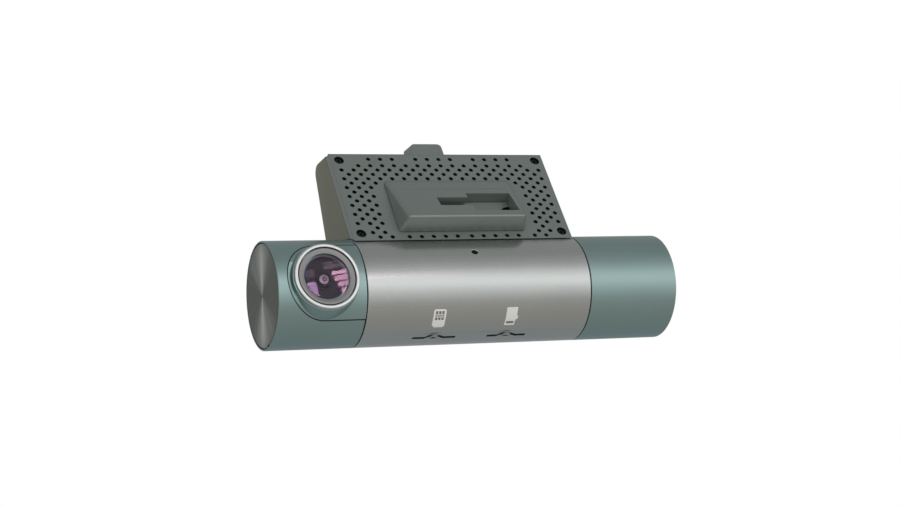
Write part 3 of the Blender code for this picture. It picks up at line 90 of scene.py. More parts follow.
# ---- shader maths ---------------------------------------------------------------------------
class Signal:
    """A value on its way through a finish's nodes. Python operators add the Math nodes."""

    def __init__(self, nodes: "Nodes", socket: bpy.types.NodeSocket) -> None:
        """Wraps one output socket of a node tree."""
        self.nodes = nodes
        self.socket = socket

    def maths(self, operation: str, *values: "Value") -> "Signal":
        """Adds a Math node.

        Args:
            operation: The node's operation.
            values: Its inputs in order.

        Returns:
            The node's result.
        """
        return self.nodes.add("ShaderNodeMath", {"operation": operation}, values)

    def __add__(self, other: "Value") -> "Signal":
        """Sum."""
        return self.maths("ADD", self, other)

    def __sub__(self, other: "Value") -> "Signal":
        """Difference."""
        return self.maths("SUBTRACT", self, other)

    def __rsub__(self, other: "Value") -> "Signal":
        """Difference from a plain number."""
        return self.maths("SUBTRACT", other, self)

    def __mul__(self, other: "Value") -> "Signal":
        """Product."""
        return self.maths("MULTIPLY", self, other)

    def __truediv__(self, other: "Value") -> "Signal":
        """Quotient."""
        return self.maths("DIVIDE", self, other)

    def __pow__(self, other: "Value") -> "Signal":
        """Power."""
        return self.maths("POWER", self, other)

    def __abs__(self) -> "Signal":
        """Size without sign."""
        return self.maths("ABSOLUTE", self)

    def sine(self) -> "Signal":
        """Sine of an angle in radians."""
        return self.maths("SINE", self)

    def over(self, limit: float) -> "Signal":
        """1 where the value is over the limit, and 0 elsewhere."""
        return self.maths("GREATER_THAN", self, limit)

    __radd__ = __add__
    __rmul__ = __mul__


Value = Union[Signal, float, tuple]


class Nodes:
    """A node tree that a finish, the surround or the floor is drawn in."""

    def __init__(self, tree: bpy.types.NodeTree) -> None:
        """Empties the tree."""
        self.tree = tree
        tree.nodes.clear()

    def add(self, kind: str, settings: dict | None = None,
            inputs: "dict | Sequence[Value]" = (), output: int = 0) -> Signal:
        """Adds one node.

        Args:
            kind: The node's type.
            settings: Attributes, set before the inputs; `stops` fills a colour ramp.
            inputs: Values or signals for its sockets, by name, number or in order.
            output: Which output to return.

        Returns:
            That output.
        """
        node = self.tree.nodes.new(kind)
        for name, value in (settings or {}).items():
            if name == "stops":
                self.fill_ramp(node.color_ramp, value)
            else:
                setattr(node, name, value)
        pairs = inputs.items() if isinstance(inputs, dict) else enumerate(inputs)
        for key, value in pairs:
            if isinstance(value, Signal):
                self.tree.links.new(value.socket, node.inputs[key])
            else:
                node.inputs[key].default_value = value
        return Signal(self, node.outputs[output] if node.outputs else None)

    @staticmethod
    def fill_ramp(ramp: bpy.types.ColorRamp, stops: Sequence[tuple[float, Colour]]) -> None:
        """Gives a ramp its stops.

        Args:
            ramp: The ramp, with its two first stops.
            stops: Position and colour of each, from low to high.
        """
        while len(ramp.elements) < len(stops):
            ramp.elements.new(1.0)
        for element, (position, colour) in zip(ramp.elements, stops):
            element.position = position
            element.color = (*colour, 1.0)

    def place(self) -> Signal:
        """Object coordinates."""
        return self.add("ShaderNodeTexCoord", output=3)

    def split(self, vector: Signal) -> list[Signal]:
        """X, Y and Z of a vector."""
        node = self.add("ShaderNodeSeparateXYZ", inputs=[vector]).socket.node
        return [Signal(self, socket) for socket in node.outputs]

    def scaled(self, vector: Signal, scale: Colour) -> Signal:
        """Vector with each axis multiplied."""
        return self.add("ShaderNodeMapping", inputs={"Vector": vector, "Scale": scale})

    def noise(self, vector: Signal, scale: float, detail: float = 2.0) -> Signal:
        """Noise from 0 to 1.

        Args:
            vector: Where it is read.
            scale: Features per metre.
            detail: Octaves.

        Returns:
            The noise.
        """
        return self.add("ShaderNodeTexNoise",
                        inputs={"Vector": vector, "Scale": scale, "Detail": detail})

    def blend(self, share: Value, low: Value, high: Value) -> Signal:
        """Mixes two colours.

        Args:
            share: 0 gives the low colour and 1 the high one.
            low: Colour or signal.
            high: Colour or signal.

        Returns:
            The mixed colour.
        """
        low, high = [(*one, 1.0) if isinstance(one, tuple) and len(one) == 3 else one
                     for one in (low, high)]
        return self.add("ShaderNodeMix", {"data_type": "RGBA"}, {0: share, 6: low, 7: high}, 2)

    def bump(self, height: Signal, depth: float) -> Signal:
        """Normal bent by a height.

        Args:
            height: 0 to 1.
            depth: Metres that a height of 1 stands for.

        Returns:
            The normal.
        """
        return self.add("ShaderNodeBump",
                        inputs={"Strength": 1.0, "Distance": depth, "Height": height})


# ---- finishes -------------------------------------------------------------------------------
@dataclass(frozen=True)
class Finish:
    """A surface finish. Its material is made once, the first time a piece is dressed in it."""

    name: str

    def draw(self, nodes: Nodes, place: Signal) -> dict[str, Value]:
        """Draws the finish.

        Args:
            nodes: The material's nodes.
            place: Object coordinates.

        Returns:
            What each socket of the surface shader gets.
        """
        raise NotImplementedError

    def surface(self, nodes: Nodes) -> Signal:
        """Surface shader of the finish."""
        return nodes.add("ShaderNodeBsdfPrincipled", inputs=self.draw(nodes, nodes.place()))

    def material(self) -> bpy.types.Material:
        """Material of this finish, made on first use."""
        found = bpy.data.materials.get(f"{self.name}_look")
        if found is None:
            found = bpy.data.materials.new(f"{self.name}_look")
            found.use_nodes = True
            nodes = Nodes(found.node_tree)
            nodes.add("ShaderNodeOutputMaterial", inputs={"Surface": self.surface(nodes)})
        return found


@dataclass(frozen=True)
class Grained(Finish):
    """Moulded, blasted, brushed or cast surface: a fine grain over a faint cloud."""

    light: Colour
    dark: Colour
    roughness: float
    metallic: float = 0.0
    grain: float = 0.00025
    depth: float = 0.00002
    stretch: Colour = (1.0, 1.0, 1.0)
    spread: float = 0.12
    cloud: float = 0.012

    def draw(self, nodes: Nodes, place: Signal) -> dict[str, Value]:
        """Grain in colour, roughness and relief."""
        fine = nodes.noise(nodes.scaled(place, self.stretch), 1 / self.grain, 3.0)
        cloud = nodes.noise(place, 1 / self.cloud, 2.0)
        return {
            "Base Color": nodes.blend(fine * 0.5 + cloud * 0.5, self.dark, self.light),
            "Roughness": (fine - 0.5) * self.spread + (cloud - 0.5) * self.spread + self.roughness,
            "Metallic": self.metallic,
            "Normal": nodes.bump(fine, self.depth),
        }


@dataclass(frozen=True)
class PerforatedPaintedShade(Grained):
    """Grained plate with painted shade inside its holes.

    The plate's lower edge (`foot`), its direction up, half its length and its height say where it
    is; nothing within `border` of its outer edges is darkened.
    """

    foot: Point = (0.0, 0.0)
    up: Point = (0.0, 1.0)
    half: float = 0.0
    height: float = 0.0
    skin: float = 0.00018
    border: float = 0.0012
    shade: float = 0.06

    def draw(self, nodes: Nodes, place: Signal) -> dict[str, Value]:
        """Paints shade, near black, on what lies behind the face, apart from the plate's outer edges."""
        drawn = super().draw(nodes, place)
        x, y, z = nodes.split(place)
        away_y, away_z = y - self.foot[0], z - self.foot[1]
        rise = away_y * self.up[0] + away_z * self.up[1]
        behind = away_y * self.up[1] - away_z * self.up[0]
        middle = self.height / 2
        inside = ((1 - abs(x).over(self.half - self.border))
                  * (1 - abs(rise - middle).over(middle - self.border)))
        # Painted shade: the vent hole walls behind the face are painted dark where shade falls in the
        # holes
        lit = 1 - behind.over(self.skin) * inside * (1 - self.shade)
        return drawn | {"Base Color": nodes.blend(lit, (0.0, 0.0, 0.0), drawn["Base Color"]),
                        "Metallic": lit * self.metallic}


@dataclass(frozen=True)
class SpunPaintedFans(Finish):
    """Disc face cut in fine circles, with fans of painted highlight in its colour running out from the
    centre.

    Each fan field says how narrow a painted highlight fan is, and how much painted highlight it adds.
    """

    light: Colour
    dark: Colour
    edge: Colour
    centre: Point
    roughness: float = 0.32
    groove: float = 0.00022
    depth: float = 0.000012
    fan: Span = (7, 0.66)
    core: Span = (90, 0.30)
    side: Span = (40, 0.20)

    def draw(self, nodes: Nodes, place: Signal) -> dict[str, Value]:
        """Painted highlight fans up and down and towards one side, with grooves round the middle; darker
        towards the rim.
        """
        _, y, z = nodes.split(place)
        across, up = y - self.centre[0], z - self.centre[1]
        radius = (across * across + up * up) ** 0.5
        turn = nodes.add("ShaderNodeMath", {"operation": "ARCTAN2"}, (up, across))
        waver = nodes.noise(nodes.add("ShaderNodeCombineXYZ", inputs=(turn, 0.0, 0.0)), 5.0, 4.0)
        upright = abs((turn + 0.08).sine())
        # Painted highlight: bright fans above and below the centre, by angle round it
        fan = upright ** self.fan[0] * self.fan[1] + upright ** self.core[0] * self.core[1]
        # Painted highlight: one more fan towards one side
        side = abs((turn - pi * 0.72).sine()) ** self.side[0] * self.side[1]
        groove = nodes.add("ShaderNodeTexNoise", {"noise_dimensions": "1D"},
                           {"W": radius, "Scale": 1 / self.groove, "Detail": 2.0})
        painted_fans = fan + side + (waver - 0.5) * 0.35 + (groove - 0.5) * 0.22
        # Painted highlight fans over the dark tone, then blended darker towards the rim
        tone = nodes.blend(painted_fans, self.dark, self.light)
        return {
            "Base Color": nodes.blend((radius * 60) ** 6 * 0.5, tone, self.edge),
            "Roughness": (groove - 0.5) * 0.2 + self.roughness,
            "Metallic": 0.85,
            "Normal": nodes.bump(groove, self.depth),
        }


@dataclass(frozen=True)
class Turned(Finish):
    """Polished ring with fine turning marks round its axis."""

    light: Colour
    dark: Colour
    roughness: float
    metallic: float = 1.0
    mark: float = 0.00012
    depth: float = 0.000004

    def draw(self, nodes: Nodes, place: Signal) -> dict[str, Value]:
        """Turning marks seen as faint changes of gloss."""
        mark = nodes.noise(nodes.scaled(place, (0.3, 1.0, 1.0)), 1 / self.mark, 2.0)
        cloud = nodes.noise(place, 320.0, 2.0)
        return {
            "Base Color": nodes.blend(mark * 0.4 + cloud * 0.6, self.dark, self.light),
            "Roughness": (mark - 0.5) * 0.08 + self.roughness,
            "Metallic": self.metallic,
            "Normal": nodes.bump(mark, self.depth),
        }


@dataclass(frozen=True)
class Board(Finish):
    """Printed board: solder mask over copper tracks, with plated holes and tinned pads."""

    mask: Colour = (0.012, 0.085, 0.045)
    track: Colour = (0.03, 0.19, 0.10)
    tin: Colour = (0.62, 0.62, 0.58)
    pitch: float = 0.0011

    def draw(self, nodes: Nodes, place: Signal) -> dict[str, Value]:
        """Tracks from a brick pattern, pads from a cell pattern."""
        turned = nodes.add("ShaderNodeMapping", inputs={"Vector": place, "Rotation": (0.84, 0, 0)})
        track = nodes.add("ShaderNodeTexBrick", {"offset": 0.37}, {
            "Vector": turned, "Scale": 1 / self.pitch, "Mortar Size": 0.06, "Brick Width": 3.1,
            "Row Height": 0.5}, 1)
        cell = nodes.add("ShaderNodeTexVoronoi", inputs={
            "Vector": turned, "Scale": 0.55 / self.pitch, "Randomness": 0.55})
        pad = 1 - cell.over(0.17)
        return {
            "Base Color": nodes.blend(pad, nodes.blend(track, self.mask, self.track), self.tin),
            "Roughness": 0.42 - pad * 0.14,
            "Metallic": pad * 0.9,
            "Normal": nodes.bump(track + pad, 0.00003),
        }


@dataclass(frozen=True)
class Coated(Finish):
    """Clear window or lens with an anti-reflection coating."""

    tint: Colour
    sheen: Colour
    bend: float = 1.30
    smudge: float = 0.001

    def draw(self, nodes: Nodes, place: Signal) -> dict[str, Value]:
        """Mirror part of the window: the coating, with faint wiping marks in its gloss."""
        wipe = nodes.noise(nodes.scaled(place, (1.0, 0.4, 0.4)), 500.0, 3.0)
        return {
            "Base Color": nodes.blend(wipe, self.sheen, tuple(one * 0.92 for one in self.sheen)),
            "Roughness": wipe * self.smudge + 0.001,
            "Metallic": 1.0,
        }

    def surface(self, nodes: Nodes) -> Signal:
        """Clear shader with the coating over it, stronger at a shallow angle."""
        clear = nodes.add("ShaderNodeBsdfTransparent", inputs={"Color": (*self.tint, 1.0)})
        mirror = super().surface(nodes)
        share = nodes.add("ShaderNodeFresnel", inputs={"IOR": self.bend})
        return nodes.add("ShaderNodeMixShader", inputs=(share, clear, mirror))


@dataclass(frozen=True)
class PaintedReflectionElement(Finish):
    """Small coated lens whose coating reflections are painted in rings round its axis, with a painted
    highlight in the middle.
    """

    centre: Colour
    inner: Colour
    outer: Colour
    axis: Colour
    facing: Colour
    radius: float

    def draw(self, nodes: Nodes, place: Signal) -> dict[str, Value]:
        """Painted reflection rings by distance from the lens axis, with a painted highlight at the
        centre.
        """
        offset = nodes.add("ShaderNodeVectorMath", {"operation": "SUBTRACT"}, (place, self.axis))
        cross = nodes.add("ShaderNodeVectorMath", {"operation": "CROSS_PRODUCT"},
                          (offset, self.facing))
        away = nodes.add("ShaderNodeVectorMath", {"operation": "LENGTH"}, (cross,), 1)
        # Painted highlight at the centre, painted coating reflections in the rings around it
        painted_reflection_rings = nodes.add("ShaderNodeValToRGB", {"stops": [
            (0.0, self.centre), (0.30, self.inner), (0.46, self.inner), (0.56, self.outer),
            (1.0, self.outer)]}, (away / self.radius,))
        dust = nodes.noise(place, 9000.0, 2.0)
        return {"Base Color": painted_reflection_rings, "Roughness": dust * 0.05 + 0.06, "Metallic": 0.2,
                "Normal": nodes.bump(dust, 0.000001)}


class Slot(Enum):
    """Material slots of the record."""

    SILVER = "brushed_silver"
    TEAL = "teal_anodised"
    SPUN = "spun_cap"
    GREY = "grey_plastic"
    OLIVE = "olive_plastic"
    BLACK = "black_plastic"
    BRIGHT = "bright_ring"
    TRIM = "trim_grey"
    SCREW = "screw_steel"
    SPRING = "spring_steel"
    GLASS = "lens_glass"
    BOARD = "circuit_board"
    SHIELD = "shield_can"
    CERAMIC = "antenna_ceramic"
    ALUMINIUM = "bare_aluminium"
    SILICONE = "silicone_pad"
    RED = "button_red"
    LIGHT = "light_pipe"
    CABLE = "cable_black"
    FLEX = "flex_amber"


# ---- solid shapes ---------------------------------------------------------------------------
class Axis(Enum):
    """Line that a profile is turned about."""

    OUT = (0.0, 0.0, 1.0)
    ALONG = (1.0, 0.0, 0.0)


class Form:
    """A closed solid while it is being shaped."""

    def __init__(self, mesh: bmesh.types.BMesh) -> None:
        """Takes over a bmesh."""
        self.mesh = mesh

    @classmethod
    def block(cls, x: Span, y: Span, z: Span) -> "Form":
        """Box between the two ends of each span."""
        mesh = bmesh.new()
        bmesh.ops.create_cube(mesh, size=1.0)
        spans = (x, y, z)
        bmesh.ops.scale(mesh, verts=mesh.verts, vec=[abs(high - low) for low, high in spans])
        bmesh.ops.translate(mesh, verts=mesh.verts, vec=[sum(span) / 2 for span in spans])
        return cls(mesh)

    @classmethod
    def turned(cls, profile: Sequence[Point], steps: int = RING_STEPS,
               axis: Axis = Axis.OUT) -> "Form":
        """Solid of revolution.

        Args:
            profile: Closed loop of (along, radius) points; points at radius 0 close it.
            steps: Segments of the whole turn.
            axis: Line that it is turned about.

        Returns:
            The solid.
        """
        mesh = bmesh.new()
        line = Vector(axis.value)
        points = [(radius, 0.0, along) if axis is Axis.OUT else (along, radius, 0.0)
                  for along, radius in profile]
        verts = [mesh.verts.new(point) for point in points]
        edges = [mesh.edges.new(pair) for pair in zip(verts, verts[1:] + verts[:1])
                 if max(vert.co.cross(line).length for vert in pair) > MERGE]
        bmesh.ops.spin(mesh, geom=verts + edges, cent=(0, 0, 0), axis=line, angle=tau,
                       steps=steps, use_merge=True)
        bmesh.ops.remove_doubles(mesh, verts=mesh.verts, dist=MERGE)
        bmesh.ops.recalc_face_normals(mesh, faces=mesh.faces)
        return cls(mesh)

    @classmethod
    def rod(cls, along: Span, radius: float, steps: int = RING_STEPS,
            axis: Axis = Axis.OUT) -> "Form":
        """Solid cylinder.

        Args:
            along: Its two ends on the axis.
            radius: Its radius.
            steps: Segments of the whole turn.
            axis: Its axis.

        Returns:
            The solid.
        """
        low, high = along
        return cls.turned([(low, 0), (low, radius), (high, radius), (high, 0)], steps, axis)

    @classmethod
    def prism(cls, outline: Sequence[Point], x: Span,
              rounded: dict[int, float] | None = None) -> "Form":
        """Outline extruded along X.

        Args:
            outline: (y, z) points in order.
            x: The two ends.
            rounded: Corner number and radius of each corner to round.

        Returns:
            The solid.
        """
        mesh = bmesh.new()
        verts = [mesh.verts.new((x[0], y, z)) for y, z in outline]
        mesh.faces.new(verts)
        for corner, radius in (rounded or {}).items():
            bmesh.ops.bevel(mesh, geom=[verts[corner]], affect="VERTICES", offset=radius,
                            segments=14, profile=0.5, material=-1)
        return cls._extruded(mesh, (x[1] - x[0], 0.0, 0.0))

    @classmethod
    def plate(cls, outline: Sequence[Point], z: Span) -> "Form":
        """Outline of (x, y) points raised from one height to the other."""
        mesh = bmesh.new()
        mesh.faces.new([mesh.verts.new((x, y, z[0])) for x, y in outline])
        return cls._extruded(mesh, (0.0, 0.0, z[1] - z[0]))

    @classmethod
    def _extruded(cls, mesh: bmesh.types.BMesh, offset: Sequence[float]) -> "Form":
        """Solid between a mesh's one face and the same face moved by an offset."""
        grown = bmesh.ops.extrude_face_region(mesh, geom=mesh.faces[:], use_keep_orig=True)
        far = [item for item in grown["geom"] if isinstance(item, bmesh.types.BMVert)]
        bmesh.ops.translate(mesh, verts=far, vec=offset)
        bmesh.ops.recalc_face_normals(mesh, faces=mesh.faces)
        return cls(mesh)

    def rounded(self, size: float, segments: int,
                keep: Callable[[bmesh.types.BMEdge], bool]) -> "Form":
        """Rounds edges.

        Args:
            size: Width of the round.
            segments: Steps across it.
            keep: Chooses the edges.

        Returns:
            The same solid.
        """
        edges = [edge for edge in self.mesh.edges if keep(edge)]
        bmesh.ops.bevel(self.mesh, geom=edges, affect="EDGES", offset=size, segments=segments,
                        profile=0.5, material=-1, clamp_overlap=True)
        return self

    def placed(self, matrix: Matrix) -> "Form":
        """The same solid, moved and turned."""
        bmesh.ops.transform(self.mesh, matrix=matrix, verts=self.mesh.verts)
        return self

    def moved(self, x: float = 0.0, y: float = 0.0, z: float = 0.0) -> "Form":
        """The same solid, moved along the axes."""
        return self.placed(Matrix.Translation((x, y, z)))

    def repeated(self, places: Iterable[Sequence[float]]) -> "Form":
        """Copies of this solid at (x, y) places, as one."""
        part = bpy.data.meshes.new("part")
        self.mesh.to_mesh(part)
        self.mesh.free()
        whole = bmesh.new()
        for place in places:
            first = len(whole.verts)
            whole.from_mesh(part)
            whole.verts.ensure_lookup_table()
            bmesh.ops.translate(whole, verts=whole.verts[first:], vec=(*place, 0.0))
        bpy.data.meshes.remove(part)
        self.mesh = whole
        return self

    def cut(self, *others: "Form") -> "Form":
        """This solid without the others."""
        return self._combined("DIFFERENCE", others)

    def joined(self, *others: "Form") -> "Form":
        """This solid and the others as one."""
        return self._combined("UNION", others)

    def within(self, *others: "Form") -> "Form":
        """What this solid shares with the others."""
        return self._combined("INTERSECT", others)

    def _object(self, name: str) -> bpy.types.Object:
        """Passes the shape to an object in the scene."""
        data = bpy.data.meshes.new(name)
        self.mesh.to_mesh(data)
        self.mesh.free()
        made = bpy.data.objects.new(name, data)
        bpy.context.scene.collection.objects.link(made)
        return made

    def _combined(self, operation: str, others: Sequence["Form"]) -> "Form":
        """Works out one Boolean operation with each of the others in turn."""
        base = self._object("base")
        helpers = [other._object("helper") for other in others]
        for helper in helpers:
            step = base.modifiers.new(helper.name, "BOOLEAN")
            step.operation = operation
            step.object = helper
            step.solver = "EXACT"
        bpy.context.view_layer.update()
        result = bpy.data.meshes.new_from_object(
            base.evaluated_get(bpy.context.evaluated_depsgraph_get()))
        self.mesh = bmesh.new()
        self.mesh.from_mesh(result)
        bpy.data.meshes.remove(result)
        for used in (base, *helpers):
            data = used.data
            bpy.data.objects.remove(used, do_unlink=True)
            bpy.data.meshes.remove(data)
        return self


def arc(middle: Point, radius: float, first: float, last: float, steps: int = 5) -> list[Point]:
    """Points of an arc.

    Args:
        middle: Its centre.
        radius: Its radius.
        first: Angle of its first point, in degrees.
        last: Angle of its last point.
        steps: Segments.

    Returns:
        The points, both ends included.
    """
    turns = [radians(first + (last - first) * step / steps) for step in range(steps + 1)]
    return [(middle[0] + radius * cos(turn), middle[1] + radius * sin(turn)) for turn in turns]


def ring_profile(radii: Span, heights: Span, rounds: Span) -> list[Point]:
    """Section of a ring whose two top edges are rounded.

    Args:
        radii: Inner and outer radius.
        heights: Its underside and its top.
        rounds: Radius of the outer round and of the inner one.

    Returns:
        (along, radius) points.
    """
    (inner, outer), (low, high), (wide, soft) = radii, heights, rounds
    return [(low, inner), (low, outer), *arc((high - wide, outer - wide), wide, 90, 0),
            *arc((high - soft, inner + soft), soft, 0, -90)]


def mouth(surface: float, radius: float, flare: float, out: float) -> list[Point]:
    """Outer end of a hole's section, with its edge broken at the surface.

    Args:
        surface: How far out the surface is.
        radius: The hole's radius.
        flare: Half the height of the broken edge.
        out: Where the cutter ends, past the surface.

    Returns:
        (along, radius) points that end on the axis.
    """
    wide = radius + 2 * flare
    return [(surface - flare, radius), (surface + flare, wide), (out, wide), (out, 0)]


def around(middle: float, width: float) -> Span:
    """Span of a width about its middle."""
    return (middle - width / 2, middle + width / 2)


@dataclass
class Workshop:
    """Turns finished forms into named pieces, dresses them and says which body carries them."""

    finishes: dict[Slot, Finish]
    made: list[str] = field(default_factory=list)

    def piece(self, name: str, form: Form, look: Slot | Finish, body: str,
              stands_for: Sequence[str] = ()) -> bpy.types.Object:
        """Makes one visible piece.

        Args:
            name: The piece's name.
            form: Its shape, in the frame's axes.
            look: Slot of its finish, or the finish itself.
            body: Body that carries it.
            stands_for: CAD nodes that it takes the place of.

        Returns:
            The piece.
        """
        data = bpy.data.meshes.new(name)
        bmesh.ops.remove_doubles(form.mesh, verts=form.mesh.verts, dist=MERGE)
        form.mesh.to_mesh(data)
        form.mesh.free()
        data.shade_smooth()
        data.set_sharp_from_angle(angle=radians(SHARP_ANGLE))
        finish = self.finishes[look] if isinstance(look, Slot) else look
        data.materials.clear()
        data.materials.append(finish.material())
        made = bpy.data.objects.new(name, data)
        bpy.context.scene.collection.objects.link(made)
        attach(made, body)
        if stands_for:
            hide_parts(*stands_for)
        self.made.append(name)
        LOG.info("%s: %d faces on %s, in %s", name, len(data.polygons), body, finish.name)
        return made

    def dress(self, node: str, look: Slot) -> None:
        """Gives a CAD node that stays its finish.

        Args:
            node: The node's name.
            look: Slot of its finish.
        """
        kept = frame["nodes"][node]
        material = self.finishes[look].material()
        if not kept.material_slots:
            kept.data.materials.append(material)
        for socket in kept.material_slots:
            socket.material = material
        LOG.info("%s: kept, in %s", node, self.finishes[look].name)


# ---- the barrel's own frame -----------------------------------------------------------------
@dataclass(frozen=True)
class Barrel:
    """Axis and size of the round body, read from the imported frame."""

    axis: Point
    radius: float
    half: float
    wall: float = 0.0014

    @classmethod
    def from_frame(cls) -> "Barrel":
        """Reads the axis from a pivot and the sizes from the tube's box."""
        pivot = next(joint for joint in frame["record"]["behaviour"]["joints"]
                     if joint["name"] == "front_camera_turn")
        axis = (pivot["pos_m"][1], pivot["pos_m"][2])
        low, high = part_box("centre_tube")
        return cls(axis, axis[1] - low.z, (high.x - low.x) / 2)

    @property
    def bore(self) -> float:
        """Inner radius."""
        return self.radius - self.wall

    @staticmethod
    def towards(angle: float, radius: float) -> Vector:
        """Point (y, z) at an angle and a distance from the axis."""
        return Vector((-cos(radians(angle)) * radius, sin(radians(angle)) * radius))

    def frame(self, x: float = 0.0, place: Sequence[float] = (0.0, 0.0),
              facing: float = 90.0) -> Matrix:
        """Local frame.

        Args:
            x: Where it is along the barrel.
            place: Its (y, z) from the axis.
            facing: Angle that its +Z points at.

        Returns:
            Matrix from that frame to the object's axes.
        """
        where = Matrix.Translation((x, self.axis[0] + place[0], self.axis[1] + place[1]))
        return where @ Matrix.Rotation(radians(90 - facing), 4, "X")

    def bar(self, radius: float, x: Span) -> Form:
        """Solid bar on the axis."""
        return Form.rod(x, radius, FINE_STEPS, Axis.ALONG).placed(self.frame())


def meeting(point_a: Vector, along_a: Vector, point_b: Vector, along_b: Vector) -> Vector:
    """Point where two lines in the side view meet."""
    across = along_a.x * along_b.y - along_a.y * along_b.x
    between = point_b - point_a
    return point_a + along_a * ((between.x * along_b.y - between.y * along_b.x) / across)


